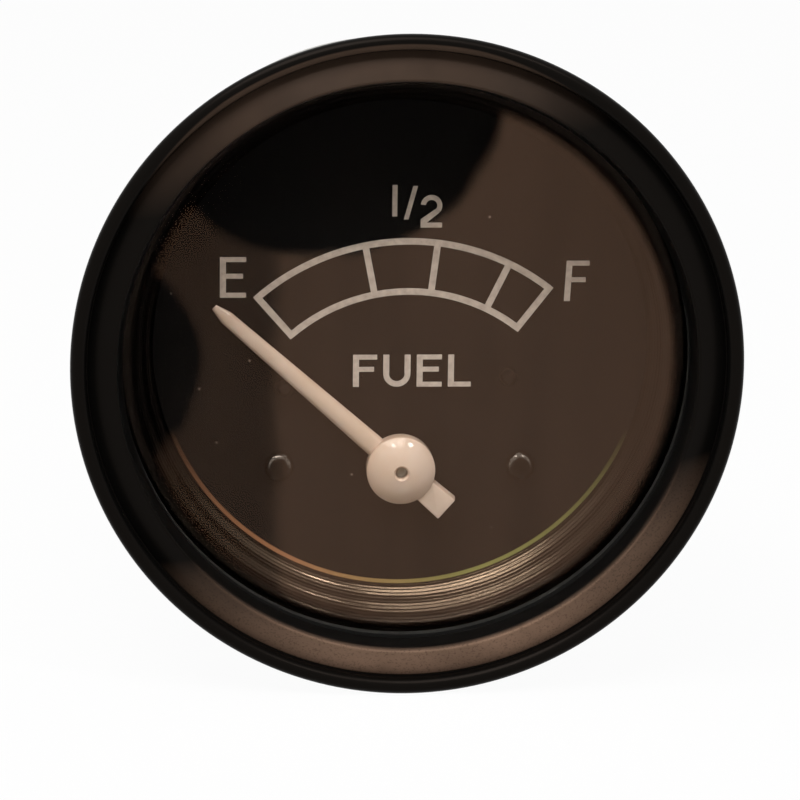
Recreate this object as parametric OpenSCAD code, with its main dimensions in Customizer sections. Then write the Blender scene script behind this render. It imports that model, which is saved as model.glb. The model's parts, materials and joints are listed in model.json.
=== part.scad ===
// Round panel fuel gauge: a pointer behind glass, turned by two crossed coils in a drawn case.
// Millimetres. The face looks toward -Y, +Z is up and +X is to the right of the reader.
// The origin is on the axis of the case, in the plane where the bezel sits on its panel.

/* [Bezel] */
// Outer diameter of the bezel
bezel_d = 60.2; // [59.6:0.1:61.5]
// Thickness of the bezel's sheet
bezel_t = 0.6; // [0.5:0.05:0.65]
// Width of the round bead at the rim
bead_w = 1.45; // [1.3:0.05:1.6]
// Distance of the crease behind the middle of the bead
crease_drop = 0.77; // [0.65:0.01:0.85]
// Width of the crowned face between the crease and the crown
face_w = 2.7; // [2.5:0.05:2.9]
// Rise of the face from the crease to the crown
crown_h = 1.56; // [1.4:0.02:1.7]
// Width of the lip between the crown and the window
lip_w = 0.5; // [0.4:0.05:0.6]
// Distance of the lip's edge behind the middle of the bead
lip_drop = 2.05; // [1.9:0.05:2.2]
// Step from the bead inward to the skirt behind it
skirt_step = 1; // [0.9:0.05:1.1]
// Overhang of the bead outside the barrel
seat_w = 4.1; // [3.8:0.1:4.6]

/* [Window] */
// Thickness of the glass
glass_t = 2.2; // [1.8:0.1:3]
// Thickness of the rubber gasket behind the glass
gasket_t = 1; // [0.6:0.1:1.5]
// Radial width of the gasket
gasket_w = 1.8; // [1.4:0.1:2]
// Thickness of the reflector ring's sheet
ring_t = 0.4; // [0.3:0.05:0.5]
// Depth from the case's flange to the dial
ring_depth = 5.4; // [4.6:0.1:6.5]
// Distance by which the reflector ring narrows from the case's wall to the dial
ring_taper = 2.8; // [2.4:0.1:3.4]
// Depth of the ribs drawn into the reflector ring
rib_h = 0.14; // [0.05:0.01:0.2]

/* [Case] */
// Thickness of the case's sheet
case_t = 0.6; // [0.5:0.05:0.7]
// Depth of the case behind the panel seat
case_depth = 29.7; // [28.5:0.1:34]
// Radius of the case's rear corner
case_corner_r = 1.6; // [1:0.1:2.4]
// Depth behind the panel seat at which the case starts to narrow
taper_y = 14; // [12:0.5:16]
// Narrowing of the case's wall from there to its rear corner
case_taper = 1.4; // [1.2:0.1:1.6]

/* [Dial] */
// Thickness of the dial plate
dial_t = 0.8; // [0.6:0.05:1]
// Distance of the pointer's axis below the middle of the dial
pivot_drop = 11.4; // [11:0.1:11.8]
// Distance of each dial screw from the pointer's axis
dial_screw_x = 11.1; // [10.5:0.1:11.8]
// Head diameter of the dial screws
dial_head_d = 2.7; // [2.4:0.1:3.2]
// Distance of the embossed stops from the pointer's axis
stop_reach = 12.9; // [12.4:0.1:13.4]
// Height of the embossed stops
stop_h = 1.15; // [1:0.05:1.3]

/* [Print] */
// Outer radius of the printed scale
scale_out_r = 21.2; // [20:0.1:21.8]
// Inner radius of the printed scale
scale_in_r = 15.95; // [14:0.05:17]
// Width of the scale's lines
line_w = 0.6; // [0.4:0.05:0.7]
// Height of the end letters
letter_h = 3.75; // [3:0.05:4]
// Height of the word
word_h = 3; // [2.4:0.05:3.3]
// Thickness of the ink
ink_t = 0.06; // [0.04:0.01:0.12]

/* [Pointer] */
// Angle of the pointer left of vertical when the tank is empty
rest_angle = 48.5; // [44:0.1:50]
// Angle that the pointer sweeps between its stops
sweep_angle = 91.7; // [86:0.1:94]
// Length of the pointer from its axis to its tip
pointer_len = 22.8; // [21:0.1:23.2]
// Width of the pointer at the hub
pointer_w = 2.05; // [1.6:0.05:2.2]
// Width of the pointer near its tip
pointer_tip_w = 1.24; // [0.8:0.02:1.3]
// Thickness of the pointer
pointer_t = 1; // [0.8:0.05:1.3]
// Length of the pointer's tail
tail_len = 5.7; // [5:0.1:6.2]
// Diameter of the hub
hub_d = 6.3; // [5.4:0.1:6.8]
// Height of the hub's straight wall
hub_wall = 1.5; // [1.4:0.05:1.8]
// Rise of the hub's dome
hub_dome = 0.9; // [0.6:0.05:1.2]
// Diameter of the spindle
spindle_d = 1; // [0.8:0.05:1.2]

/* [Movement] */
// Length of the posts between the bridge and the base plate
post_len = 11.4; // [10.8:0.1:12]
// Diameter of the posts
post_d = 4.4; // [4:0.1:5]
// Thickness of the bridge
bridge_t = 0.8; // [0.6:0.05:1.2]
// Length of the spacers between the dial and the bridge
spacer_len = 1; // [0.6:0.1:1.4]
// Thickness of the base plate
base_t = 1.5; // [1.2:0.1:1.8]
// Diameter of the armature
armature_d = 6.8; // [6:0.1:7]
// Thickness of the armature
armature_t = 4; // [3:0.1:5]
// Gap between the armature and the pole shoes
air_gap = 1; // [0.6:0.05:1.2]
// Side of the bobbins' square flanges
bobbin_w = 9; // [8:0.1:9.4]
// Length of the bobbins
bobbin_len = 9; // [8:0.1:9.6]
// Diameter of the iron cores
core_d = 3; // [2.4:0.1:3.4]

/* [Terminals and clamp] */
// Diameter of the studs' shanks
stud_d = 4.4; // [4.2:0.05:4.5]
// Distance of each mounting stud from the middle
mount_stud_x = 9.5; // [9:0.1:11]
// Distance of the mounting studs below the middle
mount_stud_drop = 4; // [3.6:0.1:4.4]
// Length of the mounting studs behind the case
mount_stud_len = 17.3; // [17:0.1:20]
// Distance of each terminal from the vertical centre plane
terminal_x = 9; // [8:0.1:10]
// Height of the terminals above the centre
terminal_z = 13.5; // [13:0.1:14]
// Length of the terminal studs behind the case
terminal_len = 13.3; // [12.5:0.1:16]
// Thickness of the fibre insulators
fibre_t = 1.2; // [0.8:0.1:1.5]
// Width of the nuts across their flats
nut_w = 7; // [6.5:0.1:7.4]
// Thickness of the thin nuts on the case
base_nut_t = 2.4; // [2:0.1:2.8]
// Thickness of the outer nuts
outer_nut_t = 3.2; // [2.8:0.1:3.4]
// Thickness of the panel that the clamp is set for
panel_t = 4.6; // [4.4:0.1:5]
// Width of the clamp's strap
strap_w = 10; // [9:0.5:10.5]
// Thickness of the clamp's strap
strap_t = 1.5; // [1.2:0.1:1.7]

/* [Hidden] */
$fn = 72;
sides = [-1, 1];

// Radial clearance of pieces that turn or slide on each other
running_gap = 0.05;
// Radial clearance of pieces that are fixed to each other
fixed_gap = 0.02;
// Depth by which a cut runs past the face that it opens
cut = 1;

// Bezel, glass and case, as radii and as depths along Y from the panel seat
bezel_r = bezel_d / 2;
bead_r = bead_w / 2;
crease_r = bezel_r - bead_w;
crown_r = crease_r - face_w;
window_r = crown_r - lip_w;
barrel_r = bezel_r - seat_w;
barrel_in_r = barrel_r - case_t;
skirt_r = bezel_r - skirt_step;
skirt_in_r = skirt_r - bezel_t;
glass_gap = 1.1;
glass_r = skirt_in_r - glass_gap;
flange_gap = 0.3;
flange_r = skirt_in_r - flange_gap;
flange_y = -bezel_t - case_t;
gasket_y = flange_y - ring_t;
glass_back_y = gasket_y - gasket_t;
glass_y = glass_back_y - glass_t;
bead_y = glass_y - lip_drop;
rolled_r = 0.5;
root_w = 0.3;
root_y = -0.1;
root_gap = 0.15;
lip_bore_r = barrel_r + root_w + root_gap;
case_in_y = case_depth - case_t;

// Dial, pointer and movement, as depths along Y
dial_y = flange_y + ring_depth;
dial_back_y = dial_y + dial_t;
exit_r = barrel_in_r - ring_taper;
ring_gap = 0.2;
ring_top_r = barrel_in_r - ring_gap - ring_t;
dial_margin = 0.3;
dial_r = exit_r + ring_t + dial_margin;
bridge_y = dial_back_y + spacer_len;
post_y = bridge_y + bridge_t;
base_y = post_y + post_len;
base_back_y = base_y + base_t;
coil_y = (post_y + base_y) / 2;
pivot_z = -pivot_drop;

// Printed scale: its middle, and its bars' angles right of vertical
scale_middle = [0.68, pivot_z + 0.07];
bar_angles = [-41.3, -11.1, 7.1, 25.9, 37.75];

// Pointer and the two stops, which its arm meets at the ends of the sweep
hub_gap = 0.6;
hub_y = dial_y - hub_gap;
hub_r = hub_d / 2;
spindle_r = spindle_d / 2;
arm_drop = 0.1;
arm_start = 0.5;
arm_root = spindle_r + arm_start;
tip_len = 1.4;
stop_base_r = 0.78;
stop_top_r = 0.3;
stop_gap = 0.04;
stop_rise = asin((hub_gap + arm_drop) / stop_h);
stop_touch_r = stop_top_r + (stop_base_r - stop_top_r) * cos(stop_rise);
arm_taper = (pointer_w - pointer_tip_w) / 2 / (pointer_len - tip_len - arm_root);
arm_touch_w = pointer_w / 2 - arm_taper * (stop_reach - arm_root);
stop_swing = asin((arm_touch_w + stop_touch_r + stop_gap) / stop_reach);
stop_angles = [-rest_angle - stop_swing, sweep_angle - rest_angle + stop_swing];
spindle_recess = 0.5;
spindle_front_y = hub_y - hub_wall - hub_dome + spindle_recess;
end_play = 0.2;
bearing_wall = 0.9;
bearing_tail = 1.6;
bearing_floor = 0.6;
rear_bearing_r = spindle_r + 1.3;
bearing_end_y = base_back_y + bearing_tail;
spindle_end_y = bearing_end_y - bearing_floor - end_play;

// Screws: shank radii and how deep they reach into the posts
dial_shank_r = 0.9;
dial_shank_grip = 4;
move_shank_r = 1.25;
move_shank_grip = 4.5;
drill_room = 0.3;

// Coils, measured outward from the pointer's axis along each coil's own axis
coil_angle = 45;
armature_r = armature_d / 2;
armature_bush_r = spindle_r + 0.8;
shoe_in_r = armature_r + air_gap;
shoe_t = 1.2;
shoe_out_r = shoe_in_r + shoe_t;
shoe_h = 5;
shoe_angle = 34;
shoe_gap = 0.1;
coil_in = shoe_out_r + shoe_gap;
coil_out = coil_in + bobbin_len;
core_r = core_d / 2;
tube_wall = 0.7;
tube_r = core_r + tube_wall;
bobbin_flange_t = 0.6;
bobbin_rim = 0.4;
winding_r = bobbin_w / 2 - bobbin_rim;
bracket_t = 1.2;
bracket_w = 8;
foot_len = 4.4;
foot_screw_r = 1;

// Studs, nuts and clamp, as depths along Y
stud_r = stud_d / 2;
free_step = 0.2;
stud_free_r = stud_r - free_step;
stud_bore_r = stud_r + running_gap;
stud_head_t = 1.6;
stud_head_r = 3.2;
insulator_r = 4.2;
spigot_wall = 0.85;
spigot_r = stud_r + spigot_wall;
tag_t = 0.4;
tag_r = 3.4;
tongue_len = 4.4;
terminal_nut_y = case_depth + fibre_t;
terminal_washer_y = terminal_nut_y + base_nut_t;
washer_t = 0.9;
washer_r = 3.6;
outer_nut_y = terminal_washer_y + washer_t;
terminal_tip_y = case_depth + terminal_len;
mount_tip_y = case_depth + mount_stud_len;
mount_stud_z = -mount_stud_drop;
clamp_travel = 3.8;
strap_y = case_depth + base_nut_t + clamp_travel;
clamp_washer_y = strap_y + strap_t;
clamp_nut_y = clamp_washer_y + washer_t;
leg_gap = 1.2;
leg_in_x = barrel_r + leg_gap;
leg_out_x = leg_in_x + strap_t;
bend_r = 1.5;

// Unit vector along v
function unit(v) = v / norm(v);
// Cross product of two plane vectors
function cross2(a, b) = a[0] * b[1] - a[1] * b[0];
// Where the line through p along u meets the line through q along v
function meet(p, u, q, v) = p + u * cross2(q - p, v) / cross2(u, v);
// Points of an arc around c, n steps from angle a0 to angle a1
function arc(c, r, a0, a1, n) =
    [for (i = [0 : n]) c + r * [cos(a0 + (a1 - a0) * i / n), sin(a0 + (a1 - a0) * i / n)]];
// Outer corner of the printed scale at one of its angles
function scale_end(angle) = scale_middle + scale_out_r * [sin(angle), cos(angle)];
// Corner k between p and q, softened over the length w
function soft(p, k, q, w, n) =
    let (a = k + unit(p - k) * w, b = k + unit(q - k) * w)
    [for (i = [0 : n]) let (t = i / n) a * (1 - t) * (1 - t) + k * 2 * t * (1 - t) + b * t * t];

// Solid of revolution about the Y axis, from points of radius and depth
module turned(points) {
    rotate([-90, 0, 0])
        rotate_extrude()
            polygon(points);
}

// Round bar along Y between two depths
module rod(r, y0, y1) {
    translate([0, y0, 0])
        rotate([-90, 0, 0])
            cylinder(r = r, h = y1 - y0);
}

// Flat shape drawn as the reader sees it, standing forward of depth y by t
module plate(y, t) {
    translate([0, y, 0])
        rotate([90, 0, 0])
            linear_extrude(height = t)
                children();
}

// Places its children at a point of the face
module at(x, z) {
    translate([x, 0, z])
        children();
}

// Slotted pan-head screw facing -Y: its head stands forward of depth y, and its shank ends at end_y
module pan_screw(head_r, head_h, shank_r, y, end_y) {
    edge = min(head_h * 0.6, head_r * 0.4);
    slot_w = head_r * 0.32;
    slot_h = head_h * 0.45;
    front_y = y - head_h;
    difference() {
        turned(concat(
            [[0, front_y]],
            arc([head_r - edge, front_y + edge], edge, -90, 0, 6),
            [[head_r, y], [shank_r, y], [shank_r, end_y], [0, end_y]]
        ));
        translate([-head_r - cut, front_y - cut, -slot_w / 2])
            cube([2 * (head_r + cut), cut + slot_h, slot_w]);
    }
}

// Chamfered hexagon nut between two depths
module hex_nut(y, t) {
    corner_r = nut_w / 2 / cos(30);
    bevel = 0.4;
    difference() {
        intersection() {
            translate([0, y, 0])
                rotate([-90, 0, 0])
                    cylinder(r = corner_r, h = t, $fn = 6);
            turned([
                [0, y], [corner_r - bevel, y], [corner_r, y + bevel / 2],
                [corner_r, y + t - bevel / 2], [corner_r - bevel, y + t], [0, y + t]
            ]);
        }
        rod(stud_bore_r, y - cut, y + t + cut);
    }
}

// Split spring washer
module spring_washer(y) {
    split_w = 0.5;
    difference() {
        rod(washer_r, y, y + washer_t);
        rod(stud_bore_r + 0.1, y - cut, y + washer_t + cut);
        rotate([0, 20, 0])
            translate([0, y - cut, 0])
                rotate([0, 0, 12])
                    cube([split_w, washer_t + 3 * cut, washer_r + cut]);
    }
}

// Bezel: rolled ring with a bead, a crease, a crowned face and a lip that holds the glass
module bezel() {
    bead_start = acos(1 - skirt_step / bead_r);
    crown_soft = 0.35;
    crease = [crease_r, bead_y + crease_drop];
    crown = [crown_r, crease[1] - crown_h];
    tip = [window_r, glass_y];
    face_dir = unit(crown - crease);
    lip_dir = unit(tip - crown);
    face_in = crease + bezel_t * [face_dir[1], -face_dir[0]];
    lip_in = crown + bezel_t * [lip_dir[1], -lip_dir[0]];
    color([0.07, 0.06, 0.055])
        turned(concat(
            [[lip_bore_r, 0]],
            arc([skirt_r - rolled_r, -rolled_r], rolled_r, 90, 0, 6),
            arc([bezel_r - bead_r, bead_y], bead_r, bead_start, -180, 24),
            [crease],
            soft(crease, crown, tip, crown_soft, 5),
            [tip, meet(lip_in, lip_dir, tip, [1, 0])],
            [meet(lip_in, lip_dir, face_in, face_dir)],
            [meet(face_in, face_dir, [skirt_in_r, 0], [0, 1])],
            [[skirt_in_r, -bezel_t], [lip_bore_r, -bezel_t]]
        ));
}

// Flat window glass
module window_glass() {
    bevel = 0.15;
    color([0.75, 0.8, 0.78, 0.25])
        turned([
            [0, glass_y], [glass_r - bevel, glass_y], [glass_r, glass_y + bevel],
            [glass_r, glass_back_y - bevel], [glass_r - bevel, glass_back_y], [0, glass_back_y]
        ]);
}

// Rubber ring between the glass and the reflector ring
module window_gasket() {
    color([0.05, 0.05, 0.05])
        turned([
            [glass_r - gasket_w, glass_back_y], [glass_r, glass_back_y],
            [glass_r, gasket_y], [glass_r - gasket_w, gasket_y]
        ]);
}

// Reflector ring: a flange under the gasket and a ribbed cone back to the dial
module reflector_ring() {
    steps = 36;
    ribs = 4;
    inner = [
        for (i = [0 : steps])
            let (t = i / steps)
            [
                ring_top_r + (exit_r - ring_top_r) * t - rib_h * (1 - cos(360 * ribs * t)) / 2,
                gasket_y + (dial_y - gasket_y) * t
            ]
    ];
    outer = [for (i = [steps : -1 : 0]) if (inner[i][1] > flange_y) inner[i] + [ring_t, 0]];
    color([0.3, 0.27, 0.24])
        turned(concat(
            inner, outer, [[ring_top_r + ring_t, flange_y], [glass_r, flange_y], [glass_r, gasket_y]]
        ));
}

// Case: drawn cup with a front flange for the bezel and holes in its back
module case() {
    corner = case_corner_r;
    wall = [barrel_r - case_taper - corner, case_depth - corner];
    color([0.62, 0.6, 0.55])
        difference() {
            turned(concat(
                [[barrel_in_r, flange_y], [flange_r, flange_y], [flange_r, -bezel_t]],
                [[barrel_r + root_w, -bezel_t], [barrel_r + root_w, root_y]],
                [[barrel_r, root_y], [barrel_r, taper_y]],
                arc(wall, corner, 0, 90, 8),
                [[0, case_depth], [0, case_in_y]],
                arc(wall, corner - case_t, 90, 0, 8),
                [[barrel_in_r, taper_y]]
            ));
            for (s = sides) {
                at(s * mount_stud_x, mount_stud_z)
                    rod(stud_bore_r, case_in_y - cut, case_depth + cut);
                at(s * terminal_x, terminal_z)
                    rod(spigot_r + running_gap, case_in_y - cut, case_depth + cut);
                at(s * dial_screw_x, pivot_z)
                    rod(move_shank_r + running_gap, case_in_y - cut, case_depth + cut);
            }
        }
}

// Domed stop pressed out of the dial, in its own place on the face
module stop_bump(angle) {
    at(stop_reach * sin(angle), pivot_z + stop_reach * cos(angle))
        turned(concat(
            [[0, dial_y + dial_t / 2], [stop_base_r, dial_y + dial_t / 2], [stop_base_r, dial_y]],
            [for (i = [1 : 7]) let (a = 90 * i / 8) [
                stop_top_r + (stop_base_r - stop_top_r) * cos(a), dial_y - stop_h * sin(a)
            ]],
            [[stop_top_r, dial_y - stop_h], [0, dial_y - stop_h]]
        ));
}

// Dial plate with its two pointer stops
module dial_plate() {
    spindle_hole_r = 1.5;
    color([0.06, 0.055, 0.05])
        difference() {
            union() {
                rod(dial_r, dial_y, dial_back_y);
                for (angle = stop_angles)
                    stop_bump(angle);
            }
            at(0, pivot_z)
                rod(spindle_hole_r, dial_y - cut, dial_back_y + cut);
            for (s = sides)
                at(s * dial_screw_x, pivot_z)
                    rod(dial_shank_r + running_gap, dial_y - cut, dial_back_y + cut);
        }
}

// Printed scale: two arcs, joined by five bars
module scale_print() {
    first = bar_angles[0];
    last = bar_angles[4];
    reach = 2 * scale_out_r;
    overlap = 0.02;
    color([0.78, 0.74, 0.68])
        plate(dial_y, ink_t)
            translate(scale_middle) {
                intersection() {
                    union() {
                        difference() {
                            circle(r = scale_out_r);
                            circle(r = scale_out_r - line_w);
                        }
                        difference() {
                            circle(r = scale_in_r + line_w);
                            circle(r = scale_in_r);
                        }
                    }
                    polygon([
                        [0, 0], reach * [sin(first), cos(first)],
                        [0, reach], reach * [sin(last), cos(last)]
                    ]);
                }
                for (angle = bar_angles)
                    rotate(-angle)
                        translate([-line_w / 2, scale_in_r + overlap])
                            square([line_w, scale_out_r - scale_in_r - 2 * overlap]);
            }
}

// Plain block letters, each from its lower left corner: width w, height h, stem s, bars b
module letter_f(w, h, s, b, lean = 0) {
    polygon([[0, 0], [s, 0], [s + lean, h], [lean, h]]);
    translate([lean, h - b])
        square([w, b]);
    translate([lean * 0.6, h * 0.47])
        square([w * 0.88, b]);
}

module letter_e(w, h, s, b) {
    letter_f(w, h, s, b);
    square([w, b]);
}

module letter_l(w, h, s, b) {
    square([s, h]);
    square([w, b]);
}

module letter_u(w, h, s, b) {
    bend = w / 2;
    for (x = [0, w - s])
        translate([x, bend])
            square([s, h - bend]);
    intersection() {
        translate([bend, bend])
            difference() {
                circle(r = bend);
                circle(r = bend - s * 0.95);
            }
        square([w, bend + b * 0.02]);
    }
}

module digit_2(w, h, s, b) {
    bend = w / 2;
    edge = s * 0.09;
    foot = [edge, b];
    foot_flare = 1.3;
    turn = 35;
    hip = [bend, h - bend] + (bend - s / 2) * [cos(turn), -sin(turn)];
    lean = unit(hip - foot);
    side = s / 2 * [lean[1], -lean[0]];
    square([w, b]);
    translate([bend, h - bend])
        intersection() {
            difference() {
                circle(r = bend);
                circle(r = bend - s);
            }
            polygon([
                [0, 0], 2 * w * [-cos(6), sin(6)], [0, 3 * w],
                [3 * w, 0], 2 * w * [cos(turn), -sin(turn)]
            ]);
        }
    polygon([
        foot - [edge, edge], foot + side * foot_flare - [0, edge],
        hip + side, hip - side, foot + [-edge, s * 0.7]
    ]);
}

// Printed lettering, placed from the scale: E and F at its ends, one half above it and the word below it
module letter_print() {
    stem = 0.55;
    thin = 0.45;
    bar = 0.45;
    e_w = letter_h * 0.635;
    e_gap = 0.85;
    e_drop = 0.22;
    f_w = letter_h * 0.56;
    f_lean = 0.2;
    f_gap = 1.2;
    f_drop = 1.44;
    one_h = letter_h * 0.77;
    one_left = 1.61;
    one_rise = 2;
    slash_w = 0.42;
    slash_h = letter_h * 0.82;
    slash_lean = 0.83;
    slash_left = 0.55;
    slash_rise = 1.72;
    two_w = 1.95;
    two_h = letter_h * 0.8;
    two_right = 0.98;
    two_rise = 0.97;
    word_right = 0.36;
    word_drop = 5.6;
    word_gap = word_h * 0.19;
    widths = word_h * [0.733, 0.833, 0.767, 0.7];
    word_w = widths * [1, 1, 1, 1] + 3 * word_gap;
    scale_top = scale_middle + [0, scale_out_r];
    word_at = scale_middle + [word_right - word_w / 2, scale_in_r - word_drop - word_h];
    color([0.78, 0.74, 0.68])
        plate(dial_y, ink_t) {
            translate(scale_end(bar_angles[0]) - [e_gap + e_w, e_drop])
                letter_e(e_w, letter_h, stem, bar);
            translate(scale_end(bar_angles[4]) + [f_gap, -f_drop])
                letter_f(f_w, letter_h, stem, bar, f_lean);
            translate(scale_top + [-one_left, one_rise])
                square([thin, one_h]);
            translate(scale_top + [-slash_left, slash_rise])
                polygon([[0, 0], [slash_w, 0], [slash_w + slash_lean, slash_h], [slash_lean, slash_h]]);
            translate(scale_top + [two_right, two_rise])
                digit_2(two_w, two_h, thin, bar);
            translate(word_at)
                letter_f(widths[0], word_h, stem, bar);
            translate(word_at + [widths[0] + word_gap, 0])
                letter_u(widths[1], word_h, stem, bar);
            translate(word_at + [widths[0] + widths[1] + 2 * word_gap, 0])
                letter_e(widths[2], word_h, stem, bar);
            translate(word_at + [word_w - widths[3], 0])
                letter_l(widths[3], word_h, stem, bar);
        }
}

// The two screws that hold dial, spacers and bridge on the posts
module dial_screws() {
    head_h = 0.9;
    color([0.05, 0.05, 0.05])
        for (s = sides)
            at(s * dial_screw_x, pivot_z)
                pan_screw(dial_head_d / 2, head_h, dial_shank_r, dial_y, post_y + dial_shank_grip);
}

// Short tubes between dial and bridge
module dial_spacers() {
    color([0.75, 0.6, 0.32])
        for (s = sides)
            at(s * dial_screw_x, pivot_z)
                difference() {
                    rod(post_d / 2, dial_back_y, bridge_y);
                    rod(dial_shank_r + running_gap, dial_back_y - cut, bridge_y + cut);
                }
}

// Half-round section of the pointer's arm, half as wide as w, at distance z from the axis
module arm_section(w, t, z) {
    wall = t * 0.35;
    slice = 0.05;
    translate([0, 0, z])
        linear_extrude(height = slice)
            polygon(concat(
                [[-w, 0]],
                [for (a = [0 : 15 : 180]) [-w * cos(a), -wall - (t - wall) * sin(a)]],
                [[w, 0]]
            ));
}

// Pointer: tapered arm, domed hub and short tail, moulded in one
module pointer() {
    tail_t = pointer_t * 1.15;
    tail_w = 1.02;
    tail_end_w = 1.2;
    bore_r = spindle_r + fixed_gap;
    dome_n = 10;
    color([0.88, 0.8, 0.7])
        translate([0, hub_y, pivot_z])
            rotate([0, -rest_angle, 0]) {
                difference() {
                    union() {
                        translate([0, -arm_drop, 0])
                            hull() {
                                arm_section(pointer_w / 2, pointer_t, arm_root);
                                arm_section(pointer_tip_w / 2, pointer_t * 0.9, pointer_len - tip_len);
                                arm_section(pointer_tip_w / 5, pointer_t * 0.5, pointer_len - 0.05);
                            }
                        plate(-arm_drop, tail_t)
                            polygon([
                                [-tail_w, -arm_root], [-tail_w, -hub_r - 0.2],
                                [-tail_end_w, -tail_len + 0.3], [-tail_end_w + 0.25, -tail_len],
                                [tail_end_w - 0.25, -tail_len], [tail_end_w, -tail_len + 0.3],
                                [tail_w, -hub_r - 0.2], [tail_w, -arm_root]
                            ]);
                        turned(concat(
                            [[bore_r, 0], [hub_r - 0.15, 0], [hub_r, -0.15]],
                            [for (i = [0 : dome_n]) let (a = 90 * i / dome_n) [
                                bore_r + (hub_r - bore_r) * cos(a), -hub_wall - hub_dome * sin(a)
                            ]]
                        ));
                    }
                    rod(bore_r, -hub_wall - hub_dome - cut, cut);
                }
            }
}

// Steel spindle from the hub to the rear bearing
module spindle() {
    color([0.7, 0.7, 0.7])
        at(0, pivot_z)
            rod(spindle_r, spindle_front_y, spindle_end_y);
}

// Magnetic armature on the spindle
module armature() {
    color([0.25, 0.25, 0.27])
        at(0, pivot_z)
            difference() {
                rod(armature_r, coil_y - armature_t / 2, coil_y + armature_t / 2);
                rod(armature_bush_r + fixed_gap, coil_y - armature_t, coil_y + armature_t);
            }
}

// Brass bush between the armature and the spindle
module armature_bush() {
    collar = 0.6;
    collar_w = 0.5;
    y0 = coil_y - armature_t / 2;
    color([0.75, 0.6, 0.32])
        at(0, pivot_z)
            difference() {
                union() {
                    rod(armature_bush_r, y0 - collar, coil_y + armature_t / 2);
                    rod(armature_bush_r + collar_w, y0 - collar, y0);
                }
                rod(spindle_r + fixed_gap, y0 - collar - cut, coil_y + armature_t);
            }
}

// Bridge across the posts, which carries the front bearing
module front_bridge() {
    end_r = post_d / 2;
    color([0.75, 0.6, 0.32])
        difference() {
            union() {
                plate(post_y, bridge_t)
                    translate([-dial_screw_x, pivot_z - end_r])
                        square([2 * dial_screw_x, 2 * end_r]);
                for (s = sides)
                    at(s * dial_screw_x, pivot_z)
                        rod(end_r, bridge_y, post_y);
            }
            at(0, pivot_z)
                rod(spindle_r + bearing_wall + fixed_gap, bridge_y - cut, post_y + cut);
            for (s = sides)
                at(s * dial_screw_x, pivot_z)
                    rod(dial_shank_r + running_gap, bridge_y - cut, post_y + cut);
        }
}

// Flanged bush pressed into the bridge
module front_bearing() {
    flange_t = 0.3;
    flange_w = 0.4;
    bush_r = spindle_r + bearing_wall;
    color([0.85, 0.7, 0.4])
        at(0, pivot_z)
            difference() {
                union() {
                    rod(bush_r, bridge_y, post_y + flange_t);
                    rod(bush_r + flange_w, post_y, post_y + flange_t);
                }
                rod(spindle_r + running_gap, bridge_y - cut, post_y + cut);
            }
}

// Blind bush in the base plate, which takes the rear end of the spindle
module rear_bearing() {
    flange_t = 0.8;
    flange_w = 0.8;
    color([0.85, 0.7, 0.4])
        at(0, pivot_z)
            difference() {
                union() {
                    rod(rear_bearing_r, base_y, bearing_end_y);
                    rod(rear_bearing_r + flange_w, base_back_y, base_back_y + flange_t);
                }
                rod(spindle_r + running_gap, base_y - cut, bearing_end_y - bearing_floor);
            }
}

// Posts between bridge and base plate, drilled at both ends for their screws
module dial_posts() {
    color([0.75, 0.6, 0.32])
        for (s = sides)
            at(s * dial_screw_x, pivot_z)
                difference() {
                    rod(post_d / 2, post_y, base_y);
                    rod(dial_shank_r + fixed_gap, post_y - cut, post_y + dial_shank_grip + drill_room);
                    rod(move_shank_r + fixed_gap, base_y - move_shank_grip - drill_room, base_y + cut);
                }
}

// Base plate of the movement
module base_plate() {
    rim = 2.9;
    plate_r = norm([dial_screw_x, pivot_drop]) + post_d / 2 + rim;
    terminal_room = 5;
    post_margin = 1;
    top_z = terminal_z - terminal_room;
    bottom_z = pivot_z - post_d / 2 - post_margin;
    color([0.62, 0.6, 0.55])
        difference() {
            plate(base_back_y, base_t)
                intersection() {
                    circle(r = plate_r);
                    translate([-plate_r, bottom_z])
                        square([2 * plate_r, top_z - bottom_z]);
                }
            at(0, pivot_z)
                rod(rear_bearing_r + fixed_gap, base_y - cut, base_back_y + cut);
            for (s = sides) {
                at(s * dial_screw_x, pivot_z)
                    rod(move_shank_r + running_gap, base_y - cut, base_back_y + cut);
                at_coil(s)
                    translate([0, 0, coil_out + bracket_t + foot_len / 2])
                        rod(foot_screw_r + fixed_gap, base_y - coil_y - cut, base_back_y - coil_y + cut);
            }
        }
}

// Frame of one coil: its axis runs outward along local Z from the pointer's axis
module at_coil(s) {
    translate([0, coil_y, pivot_z])
        rotate([0, s * coil_angle, 0])
            children();
}

// Iron core of one coil with its curved pole shoe and riveted outer end
module core(s) {
    rivet_t = 0.7;
    rivet_w = 0.8;
    back = coil_out + bracket_t;
    reach = 2 * shoe_out_r;
    edge = reach * [sin(shoe_angle), cos(shoe_angle)];
    color([0.4, 0.4, 0.4])
        at_coil(s) {
            intersection() {
                difference() {
                    rod(shoe_out_r, -shoe_h / 2, shoe_h / 2);
                    rod(shoe_in_r, -shoe_h, shoe_h);
                }
                translate([0, shoe_h, 0])
                    rotate([90, 0, 0])
                        linear_extrude(height = 2 * shoe_h)
                            polygon([[0, 0], [-edge[0], edge[1]], edge]);
            }
            translate([0, 0, shoe_in_r + shoe_t / 2])
                cylinder(r = core_r, h = back - shoe_in_r - shoe_t / 2);
            translate([0, 0, back])
                cylinder(r = core_r + rivet_w, h = rivet_t);
        }
}

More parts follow.
